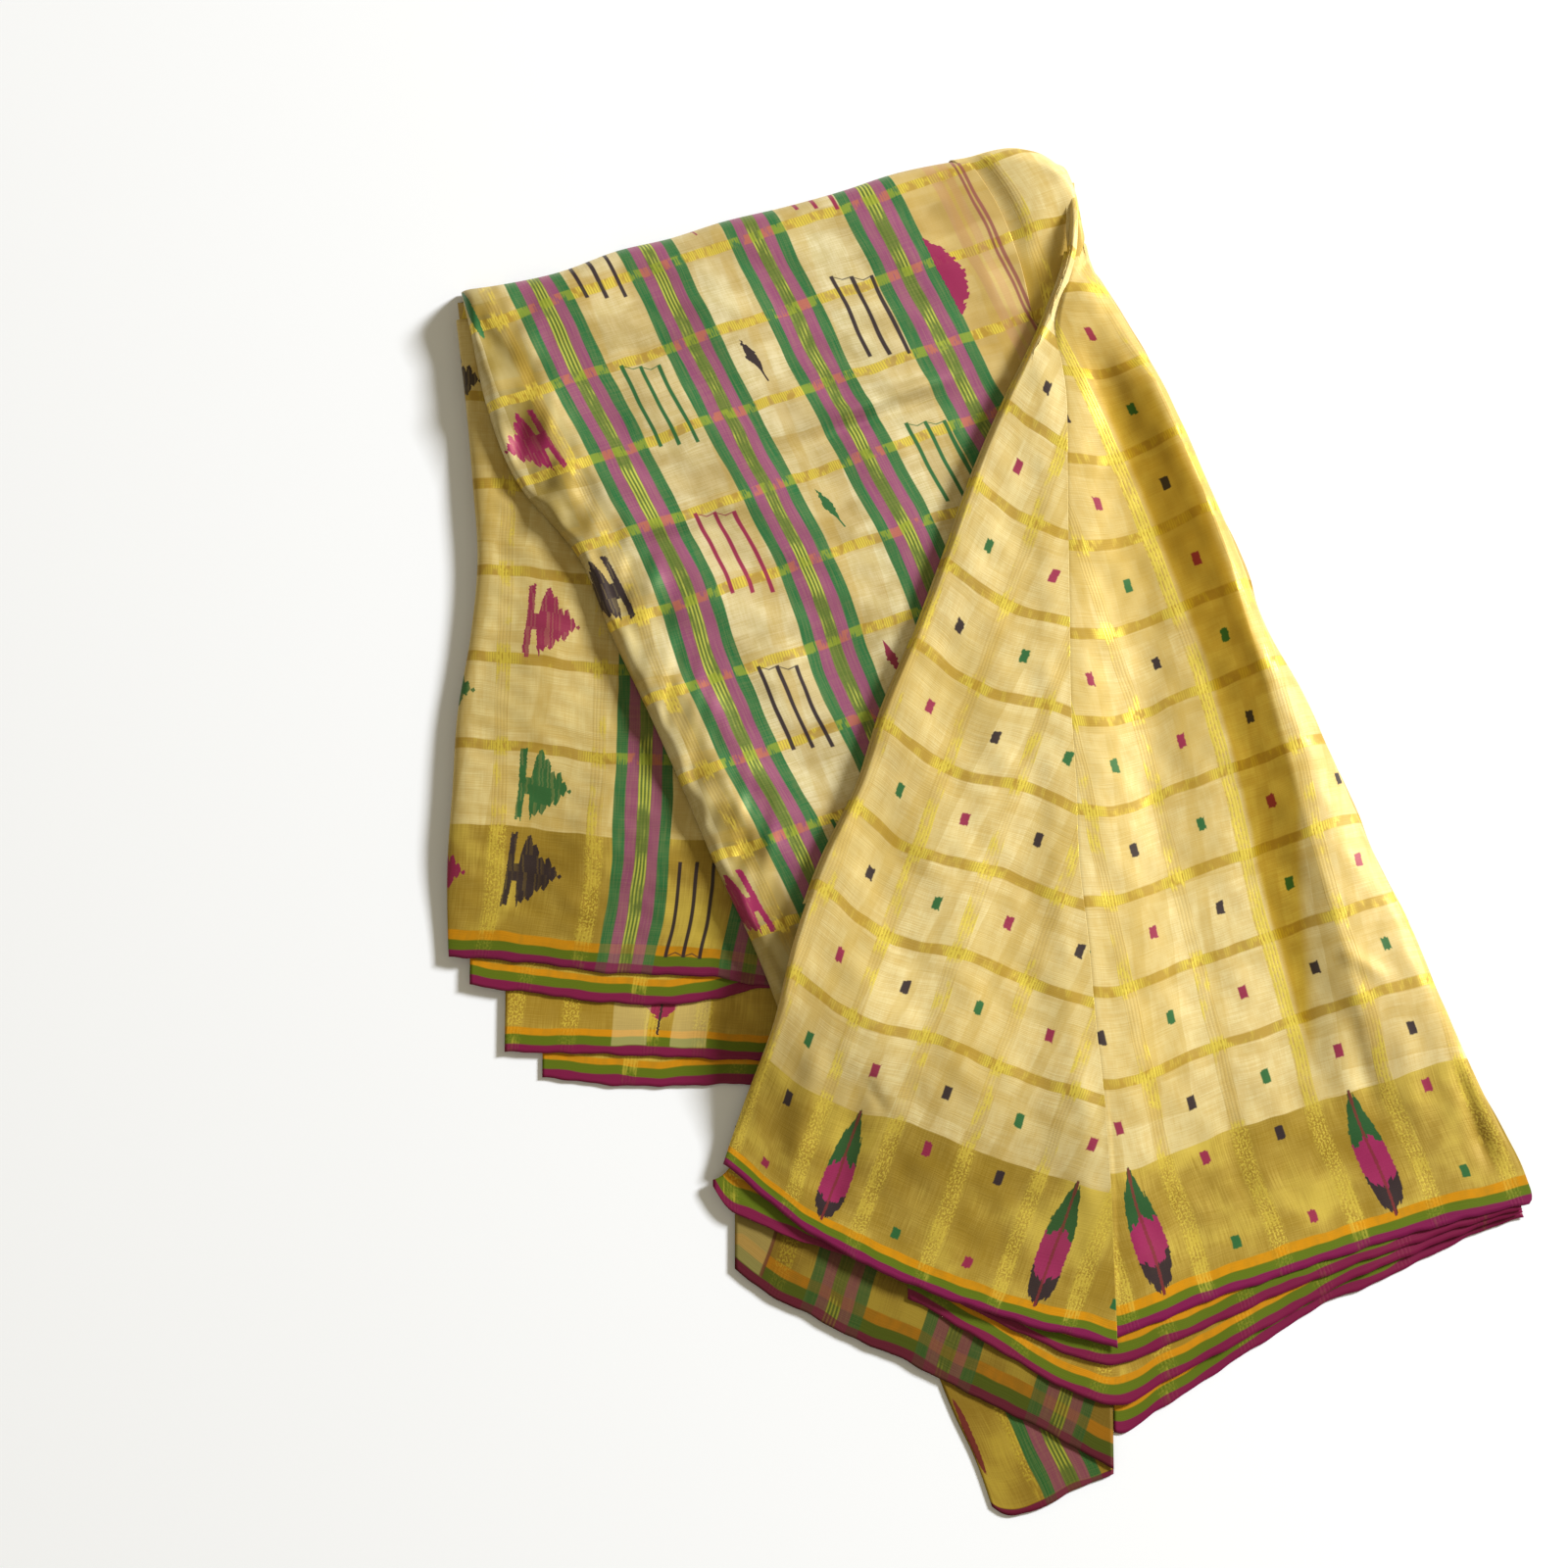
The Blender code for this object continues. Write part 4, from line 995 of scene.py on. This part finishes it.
print("making cloth materials")
hemLines = (4.7, 9.5, 14.5)  # how far up magenta, olive and orange reach
fanLook = {"border": 79.0, "hem": hemLines, "bars": 122.5, "motifs": ("dots", "feathers"), "seed": 1.0}
hemLook = {"border": 900.0, "hem": (4.7, 9.5, 13.0), "bars": 950.0, "shaded": (0.9, 0.86, 0.72, 1.0)}
looks = {
    "fanLeftLook": fanLook,
    "fanRightLook": {
        **fanLook, "seed": 31.0, "under": (-9.0, 12.0), "golden": (330.0, 110.0, 200.0, 0.42),
        "flank": (136.5, 171.0, (0.78, 0.64, 0.15, 1.0)),
        "motifs": ("dots", "feathers", "sliver"), "sliver": (225.5, 50.0, 2.6, 17.0, "dark"),
    },
    "turnLook": {"bars": 17.7, "zariFrom": 12.0, "seed": 3.0, "golden": (374.0, -16.0, 30.0, 0.85)},
    "treeLook": {
        "border": 68.0, "hem": hemLines, "bars": 109.0, "zariAt": ((0, -58.5), (-34.0, -9.0), (20.0, 150.0)),
        "bands": 2, "bandPitch": 63.0, "motifs": ("trees", "combs"), "seed": 12.0, "facing": 1.0,
        "shaded": (0.79, 0.77, 0.67, 1.0),
        "treeU": ((0, -38.0), (68.0, -34.5), (130.0, -33.0)),
        "treeV": ((0, 45.7), (68.0, 90.0), (130.0, 175.0)),
        "treeDye": ((0, 0.0), (68.0, 1.0), (130.0, 2.0)),
        "farTrees": {"before": -58.0, "at": -86.0, "treeV": ((0, 44.0), (90.0, 137.0), (220.0, 300.0)),
                     "treeDye": ((0, 2.0), (90.0, 1.0), (220.0, 0.0))},
        "firstComb": 33.0, "combHalf": 24.0, "combUp": -1.0, "combSlant": 0.0,
    },
    "stripedLook": {
        "bars": 109.0, "zariAt": ((0, -58.5), (-34.0, -11.0), (20.0, 400.0)), "bands": 4, "seed": 21.0,
        "ground": ("silver", "silverPale"), "warmFrom": 203.0, "shaded": (0.99, 0.97, 0.97, 1.0),
        "margin": (-3.0, 0.78), "barGlow": 1.0, "barDye": 0.7, "shineFrom": 0.47,
        "motifs": ("trees", "combs", "halfLeaf", "sliver"), "facing": -1.0,
        "sliver": (-24.0, 438.0, 2.4, 17.0, "stripeGreen"),
        "treeU": ((0, -31.0), (150.0, -30.0)), "treeV": ((0, 80.0), (150.0, 265.0), (310.0, 356.0)),
        "treeDye": ((0, 2.0), (150.0, 0.0), (310.0, 2.0)),
        "firstComb": 172.0, "combHalf": 24.5, "combUp": 1.0, "combSlant": 3.0, "combLift": 11.0,
        "combShift": 4.5, "halfLeaf": (203.0, 374.0, 13.0, 25.0),
        "lines": ((222.5, 2.6, 0.4, "faintMauve"), (229.0, 2.0, 0.35, "faintMauve"),
                  (234.6, 0.8, 0.8, "edgeMauve"), (237.4, 1.0, 0.8, "edgeMauve")),
    },
    "treeHemLook": {
        **hemLook, "zariAt": ((0, -85.0), (-60.0, -34.0), (0.0, 24.0), (50.0, 78.0)), "seed": 14.0,
    },
    "treeHemThirdLook": {
        **hemLook, "zariAt": ((0, -37.0), (-24.0, -9.0), (10.0, 33.0), (45.0, 58.0)), "seed": 15.0,
        "motifs": ("tip",), "tip": (36.0, 33.0, 16.0, 15.0),
        "lines": ((22.0, 9.0, 0.3, "creamPale"), (52.0, 9.0, 0.3, "creamPale")),
    },
    "fanHemLook": {**hemLook, "zariFrom": 8.0, "seed": 16.0},
    "cornerLook": {**hemLook, "hem": (4.5, 12.0, 16.0), "zariFrom": 8.0, "seed": 17.0},
    "stripedHemLook": {
        **hemLook, "hem": (4.7, 10.5, 16.0), "zariAt": ((0, -14.0),), "bands": 3, "bandCover": 0.9,
        "seed": 18.0, "shaded": (0.43, 0.39, 0.24, 1.0),
        "lines": ((-35.0, 13.0, 0.45, "creamPale"), (-22.5, 0.9, 0.8, "vein")),
    },
    "tailLook": {
        **hemLook, "hem": (3.2, 3.4, 3.6), "zariAt": ((0, 0.0),), "bands": 1, "seed": 19.0,
        "motifs": ("sliver",), "sliver": (-22.2, 41.0, 2.2, 20.0, "vein"), "shaded": (0.62, 0.58, 0.38, 1.0),
    },
    "layersLook": {
        "bars": 40.0, "zariFrom": 5.0, "seed": 41.0, "relief": 0.6, "shaded": (0.84, 0.8, 0.7, 1.0),
    },
}
cloths = {name: sariCloth(name, look) for name, look in looks.items()}


def clothObject(name, node, look, points, faces, places):
    shift = bundle["middle"]
    points = (np.asarray(points, float) - (shift[0], shift[1], 0.0)) * 0.001
    mesh = bpy.data.meshes.new(name)
    mesh.from_pydata(points, [], faces)
    layer = mesh.uv_layers.new(name="cloth")
    corners = np.empty(len(mesh.loops), dtype=np.int32)
    mesh.loops.foreach_get("vertex_index", corners)
    layer.data.foreach_set("uv", (np.asarray(places)[corners] * 0.001).reshape(-1).astype(np.float32))
    mesh.materials.append(cloths[look])
    mesh.shade_smooth()
    obj = bpy.data.objects.new(name, mesh)
    bpy.context.scene.collection.objects.link(obj)
    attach(obj, "root")
    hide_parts(node)
    print(name, "faces", len(faces))
    return obj


# how much longer the cloth runs than its plan where it turns down, counted from its middle
def steepLength(points, axis):
    steps = np.diff(points, axis=axis)
    extra = np.linalg.norm(steps, axis=-1) - 1.15 * np.linalg.norm(steps[..., :2], axis=-1)
    total = np.cumsum(np.maximum(extra, 0), axis=axis)
    total = np.concatenate([np.zeros_like(np.take(total, [0], axis=axis)), total], axis=axis)
    return total - np.take(total, [total.shape[axis] // 2], axis=axis)


def clothPiece(name, node, look, plan, height, cloth, flat):
    x, y = plan[..., 0], plan[..., 1]
    rows, columns = x.shape
    points = np.dstack([x, y, height(x, y)])
    cells = (np.arange(rows - 1)[:, None] * columns + np.arange(columns - 1)).reshape(-1)
    faces = np.stack([cells, cells + columns, cells + columns + 1, cells + 1], axis=1)
    u, v = cloth(x, y)
    places = np.dstack([u + steepLength(points, 1), v - steepLength(points, 0)]).reshape(-1, 2)
    obj = clothObject(name, node, look, points.reshape(-1, 3), faces.tolist(), places)
    wall = obj.modifiers.new("wall", "SOLIDIFY")
    wall.thickness = bundle["clothWall"] * 0.001
    wall.offset = -1
    flat.get("area")
    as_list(flat.get("on", ["foldedLayersCloth"]))


def treeWoven(x, y):  # the tops with their small swells
    inside = eased((x - leftSide(y)) / 14) * eased((y - treeHem["first"](x)) / 25)
    small = ripple(x, y, 4, 46, 0.6) + ripple(x, y, 5, 17, 0.2)
    return treeTop(x, y) + (small + folds(treeFolds, x, y)) * inside


def stripedWoven(x, y):
    inside = eased((x - stripedEdge(y)) / 9) * eased((topFold(x) - y) / 25)
    margin = 1 - eased((x - stripedEdge(y) - 26) / 22)
    crumpled = ripple(x, y, 9, 22, 1.3) + ripple(x, y, 10, 11, 0.3)
    small = ripple(x, y, 7, 50, 0.7) + ripple(x, y, 8, 18, 0.22)
    return stripedTop(x, y) + (small + crumpled * margin) * inside


def fanWoven(top):
    def height(x, y):
        inside = eased((x - fanEdge(y)) / 10) * eased((rightSide(y) - x) / 12)
        inside = inside * eased((y - fanHemAt(x, y)) / 30)
        apart = abs(x - crease(y))
        small = ripple(x, y, 11, 60, 0.7) + ripple(x, y, 12, 19, 0.18)
        return top(x, y) + (small * eased(apart / 12) + folds(fanFolds, x, y) * eased(apart / 8)) * inside

    return height


print("making the hidden layers")
layers = {"leftLobes": 3, "rightLobes": 4, "leftHeight": 4.2, "rightHeight": 11.0, "tuck": 10.0, "sunk": 3.5}
lobe = table("share inset", (0.0, 4.0), (0.15, 1.5), (0.4, 0.4), (0.7, 0.7), (0.9, 2.2))


def hiddenTop(x, y):
    low = treeTop(np.maximum(x, leftSide(y) + bundle["leftRadius"]), y)
    middle = overTopFold(stripedLevel(x, y), x, y)
    high = overTopFold(np.minimum(fanLevel(x, y), fanRightTop(np.minimum(x, rightSide(y) - 4), y)), x, y)
    height = blend(low, middle, eased((x - stripedEdge(y) - layers["tuck"] - 4) / 12))
    height = blend(height, high, eased((x - fanEdge(y) - layers["tuck"] - 6) / 14))
    return np.maximum(np.minimum(height, high + 2) - layers["sunk"], 2.0)


def lobes(edge, inward, side, height, top):  # one rounded bulge for each folded layer, from the floor up
    count = layers[side + "Lobes"]
    edges = []
    for number in range(count):
        uneven = 0.8 * math.sin(2.4 * number)
        for share, inset in zip(*lobe.values()):
            edges.append((edge + inward * (inset + uneven), (number + share) * height / count))
    return edges + [(top, height + 0.6)]


def hiddenPlan():
    tuck, flank = layers["tuck"], bundle["ridgeFlank"]
    columns = [offset(leftSide, 6)]
    columns += betweens(leftSide, stripedEdge, shares(12), 12, tuck + 2)
    columns += offsets(stripedEdge, shares(8, tuck + 4, tuck + 18))
    columns += betweens(stripedEdge, fanEdge, shares(16, 0.06, 1), tuck + 18, tuck + 2)
    columns += offsets(fanEdge, shares(9, tuck + 4, tuck + 22))
    columns += betweens(fanEdge, crease, shares(10, 0.1, 1), tuck + 22)
    columns += betweens(crease, ridge, shares(8, 0.12, 1), 0, -flank)
    columns += offsets(ridge, (-0.75 * flank, -0.5 * flank, -0.25 * flank, 0))
    columns += betweens(ridge, rightSide, shares(8, 0.12, 1), 0, -9)
    return rowsBetween(columns, offset(topFold, -5.5), hiddenEnd, 130, (0, 1, 2, 3.5, 5, 7, 9), least=0.5)


def hiddenLayers():
    plan = hiddenPlan()
    points = []
    for row, height in zip(plan, hiddenTop(plan[..., 0], plan[..., 1])):
        (left, y), right = row[0], row[-1, 0]
        share = np.clip((topFold(left) - y) / 30, 0.2, 1)
        leftHeight = min(layers["leftHeight"] * share, 0.5 * height[0])
        rightHeight = min(layers["rightHeight"] * share, 0.42 * height[-1])
        bulges = lobes(right + 6.5, -1, "right", rightHeight, right + 1)
        points += [(x, y, z) for x, z in lobes(left - 4, 1, "left", leftHeight, left)]
        points += [(x, y, z) for (x, y), z in zip(row, height)]
        points += [(x, row[-1, 1], z) for x, z in reversed(bulges)]
    rows, across = plan.shape[:2]
    count = len(points) // rows
    firstTop = layers["leftLobes"] * len(lobe["share"]) + 1
    tops = range(firstTop, firstTop + across)
    faces = []
    for row in range(rows - 1):
        for i in range(row * count, row * count + count - 1):
            faces.append((i, i + count, i + count + 1, i + 1))
    feet = []
    for start in (0, (rows - 1) * count):
        foot = list(range(len(points), len(points) + across))
        points += [(points[start + top][0], points[start + top][1], 0.0) for top in tops]
        for i in range(across - 1):
            faces.append((start + tops[i], start + tops[i + 1], foot[i + 1], foot[i]))
        faces.append([start + i for i in range(firstTop + 1)] + [foot[0]])
        faces.append([foot[-1]] + [start + i for i in range(tops[-1], count)])
        feet.append(foot)
    outline = [row * count for row in range(rows)] + feet[1]
    outline += [row * count + count - 1 for row in reversed(range(rows))] + feet[0][::-1]
    faces.append(outline)
    places = [(x + z, y) for x, y, z in points]
    obj = clothObject("foldedLayersCloth", "folded_layers", "layersLook",
                      points, faces, places)
    work = bmesh.new()
    work.from_mesh(obj.data)
    bmesh.ops.recalc_face_normals(work, faces=work.faces)
    work.to_mesh(obj.data)
    work.free()


hiddenLayers()

print("making the tree side")
columns = offsets(leftSide, rolledShares(9, bundle["leftRadius"]))
columns += betweens(leftSide, stripedEdge, shares(70, 0.02, 1), bundle["leftRadius"], 10)
plan = rowsBetween(columns, level(268), wavy(treeHem["first"], 1), 170)
clothPiece("treePanelCloth", "tree_panel", "treeLook", plan, treeWoven, treeCloth("first"),
           {"size": (0.19, 0.33), "area": 0.03})
treeEdges = {
    "second": {"left": -264.0, "look": "treeHemLook"},
    "third": {"left": -246.0, "look": "treeHemThirdLook"},
    "fourth": {"left": -227.0, "look": "treeHemLook"},
}
for number, (name, side) in enumerate(treeEdges.items()):
    hem = treeHem[name]
    columns = [level(x) for x in shares(90, side["left"], -101.0)]
    plan = rowsBetween(columns, offset(hem, 50), wavy(hem, 2 + number), 30)
    height = hemUnder((3 - number) * bundle["layer"], 0.6 - 0.2 * number, treeTop, treeAtHem)
    clothPiece("treeHemCloth" + name.capitalize(), "tree_hem_" + name, side["look"], plan,
               height, treeCloth(name), {"size": (0.15, 0.05)})

print("making the striped side")


def stripedRight(y):
    hidden = fanEdge(y) + 10
    return blend(hidden, np.minimum(turnSelvedge(y) + 1.5, hidden), eased((y - 248) / 18))


columns = offsets(stripedEdge, rolledShares(9, bundle["stripedRadius"]))
columns += betweens(stripedEdge, stripedRight, shares(124, 0.01, 1), bundle["stripedRadius"], -0.6)
columns += offsets(stripedRight, (-0.25, 0))
topSteps = rolledShares(9, bundle["topRadius"])
plan = rowsBetween(columns, topFold, level(-98), 220, topSteps)
clothPiece("stripedPanelCloth", "striped_panel", "stripedLook", plan, stripedWoven,
           stripedCloth, {"size": (0.29, 0.45), "area": 0.078, "on": ["foldedLayersCloth", "treePanelCloth"]})
columns = betweens(turnSelvedge, turnSide, shares(40), -5)
plan = rowsBetween(columns, offset(topFold, bundle["layer"]), turnEnd, 70, topSteps)
clothPiece("topTurnCloth", "top_turn", "turnLook", plan, turnTop, turnCloth,
           {"size": (0.06, 0.12), "area": 0.0052})

print("making the fan")


rim = {
    "waves": ((0.6, 9.3, 0), (0.15, 3.9, 1), (1.0, 23, 2)),  # height, length over 2 pi, phase
    "calmAbove": 300,
    "cornerAt": -189.5,
    "cornerRadius": 9,
    "cornerCut": 6,
}


def fanRim(y):  # the right side, slightly uneven, rounded off at its lower corner
    bumps = sum(high * np.sin(y / length + phase) for high, length, phase in rim["waves"])
    corner = rim["cornerCut"] * (1 - rounded(y - rim["cornerAt"], rim["cornerRadius"]))
    return rightSide(y) + bumps * eased((rim["calmAbove"] - y) / 30) - corner


columns = offsets(fanStart, rolledShares(7, bundle["fanRadius"]))
columns += betweens(fanStart, crease, shares(80, 0.012, 1), bundle["fanRadius"], -14)
columns += offsets(crease, (-12, -10, -8, -6, -4.5, -3, -2, -1, -0.4, 0))
plan = rowsBetween(columns, level(334), wavy(fanHem["left"], 7), 250, least=0.05)
clothPiece("fanLeftCloth", "fan_left_panel", "fanLeftLook", plan, fanWoven(fanLeftTop),
           fanLeftCloth, {"size": (0.24, 0.57), "area": 0.061})


def tucked(y):
    return crease(y) - 1.5 - 4.5 * eased((270 - y) / 40)


columns = [tucked] + offsets(crease, (-2, 0, 1.5, 3, 5, 7, 9, 11.5, 14))
columns += betweens(crease, ridge, shares(60, 0.02, 1), 14)
columns += betweens(ridge, fanRim, [math.sin(0.5 * math.pi * share) for share in shares(30, 0.03, 1)])
plan = rowsBetween(columns, level(305.5), wavy(fanHem["right"], 8), 250, least=0.12)
clothPiece("fanRightCloth", "fan_right_panel", "fanRightLook", plan, fanWoven(fanRightTop),
           fanRightCloth, {"size": (0.22, 0.56), "area": 0.073})
columns = betweens(fanStart, lambda y: np.minimum(fanStart(y) + 9, crease(y) - 1), shares(8), -1.6)
plan = rowsBetween(columns, level(300), level(-40), 180)
clothPiece("fanEdgeCloth", "fan_edge_layer", "fanLeftLook", plan, fanEdgeTop, fanLeftCloth,
           {"size": (0.022, 0.38), "area": 0.0036, "on": ["stripedPanelCloth"]})

print("making the hems under the fan")
fanEdges = {
    "second": {"left": -34.0, "own": 3.75 * bundle["layer"], "size": (0.33, 0.05)},
    "third": {"left": -44.0, "own": 2.7 * bundle["layer"], "size": (0.34, 0.05)},
    "fourth": {"left": 57.35, "own": bundle["solidWall"], "size": (0.24, 0.05)},
}
for number, (name, side) in enumerate(fanEdges.items()):
    hem = fanHem[name]
    under = hemUnder(side["own"], 0.66 - 0.22 * number, fanLevel, fanAtHem)
    columns = betweens(level(side["left"]), fanRim, shares(140), 0, -2.5)
    plan = rowsBetween(columns, offset(hem, 50), wavy(hem, 9 + number), 26)
    clothPiece("fanHemCloth" + name.capitalize(), "fan_hem_" + name, "fanHemLook", plan,
               lambda x, y: under(x, y) + ripple(x, y, 14, 34, 0.28), fanHemCloth(name), side)


def cornerBack(x):
    return np.minimum(fanHem["left"](x) + 3, cornerHem(x) + 3 + 2.2 * np.maximum(x + 141, 0))


plan = rowsBetween([level(x) for x in shares(44, -141.0, -56.0)], cornerBack, wavy(cornerHem, 4), 16)
clothPiece("fanCornerCloth", "fan_corner_hem", "cornerLook", plan,
           hemUnder(3.7 * bundle["layer"], 0.6, fanLevel, fanAtHem), cornerCloth,
           {"size": (0.09, 0.02), "area": 0.0009})
columns = [level(x) for x in shares(100, -130.0, 57.0)]
plan = rowsBetween(columns, offset(fanHem["left"], 24), wavy(stripedHem, 5), 44)
clothPiece("stripedHemCloth", "striped_hem", "stripedHemLook", plan,
           hemUnder(1.7 * bundle["layer"], 0.25, fanLevel, fanAtHem), stripedHemCloth,
           {"size": (0.22, 0.07), "area": 0.0125})
columns = betweens(tailSide, level(57.0), shares(44))
plan = rowsBetween(columns, offset(stripedHem, 24), wavy(tailHem, 6), 44)
clothPiece("tailCloth", "tail_end", "tailLook", plan,
           lambda x, y: np.full(np.shape(x), bundle["solidWall"]), tailCloth,
           {"size": (0.076, 0.1), "area": 0.0047, "on": ["stripedHemCloth"]})

print("making the light, floor and camera")


def plainMaterial(name, colour, roughness):
    m = ClothShader(name)
    m.finish({"Base Color": colour, "Roughness": roughness})
    return m.material


studio = {
    "floorSize": 16.0,
    "paper": (0.9, 0.935, 1.0, 1.0),
    "paperDrop": 0.0004,  # the floor lies this far under the sari, so that the two don't flicker
    "aim": (-0.05, 0.0, 0.0),  # where both lamps point
    "world": {"Color": (1.0, 0.86, 0.56, 1.0), "Strength": 0.3},
    "key": {"energy": 485.0, "size": 1.1, "at": (4.12, 2.38, 2.75)},
    "fill": {"energy": 5.0, "size": 2.2, "at": (-1.0, -1.4, 2.0)},
}
half = studio["floorSize"] / 2
floorMesh = bpy.data.meshes.new("floor")
corners = [(-half, -half, 0), (half, -half, 0), (half, half, 0), (-half, half, 0)]
floorMesh.from_pydata(corners, [], [(0, 1, 2, 3)])
floorMesh.materials.append(plainMaterial("floorPaper", studio["paper"], 0.9))
floor = bpy.data.objects.new("floor", floorMesh)
floor.location.z = -studio["paperDrop"]
bpy.context.scene.collection.objects.link(floor)


def softLight(name, energy, size, at):
    light = bpy.data.lights.new(name, "AREA")
    light.energy, light.size = energy, size
    lamp = bpy.data.objects.new(name, light)
    lamp.location = at
    away = np.array(at) - np.array(studio["aim"])
    tilt = math.acos(away[2] / np.linalg.norm(away))
    lamp.rotation_euler = (tilt, 0, math.atan2(away[1], away[0]) + math.pi / 2)
    bpy.context.scene.collection.objects.link(lamp)


softLight("keyLight", **studio["key"])
softLight("fillLight", **studio["fill"])
world = bpy.data.worlds.new("studio")
bpy.context.scene.world = world
world.use_nodes = True
for name, value in studio["world"].items():
    world.node_tree.nodes["Background"].inputs[name].default_value = value
bpy.context.scene.view_settings.view_transform = "Standard"

view = {"target": (-0.1023, 0.0145, 0.0), "distance": 1.8, "elevation": math.radians(80), "lens": 81.0}
camera = bpy.data.cameras.new("camera")
camera.lens, camera.sensor_width = view["lens"], 36.0
eye = bpy.data.objects.new("camera", camera)
eye.location = (
    view["target"][0],
    view["target"][1] - view["distance"] * math.cos(view["elevation"]),
    view["distance"] * math.sin(view["elevation"]),
)
eye.rotation_euler = (math.pi / 2 - view["elevation"], 0, 0)
bpy.context.scene.collection.objects.link(eye)
bpy.context.scene.camera = eye
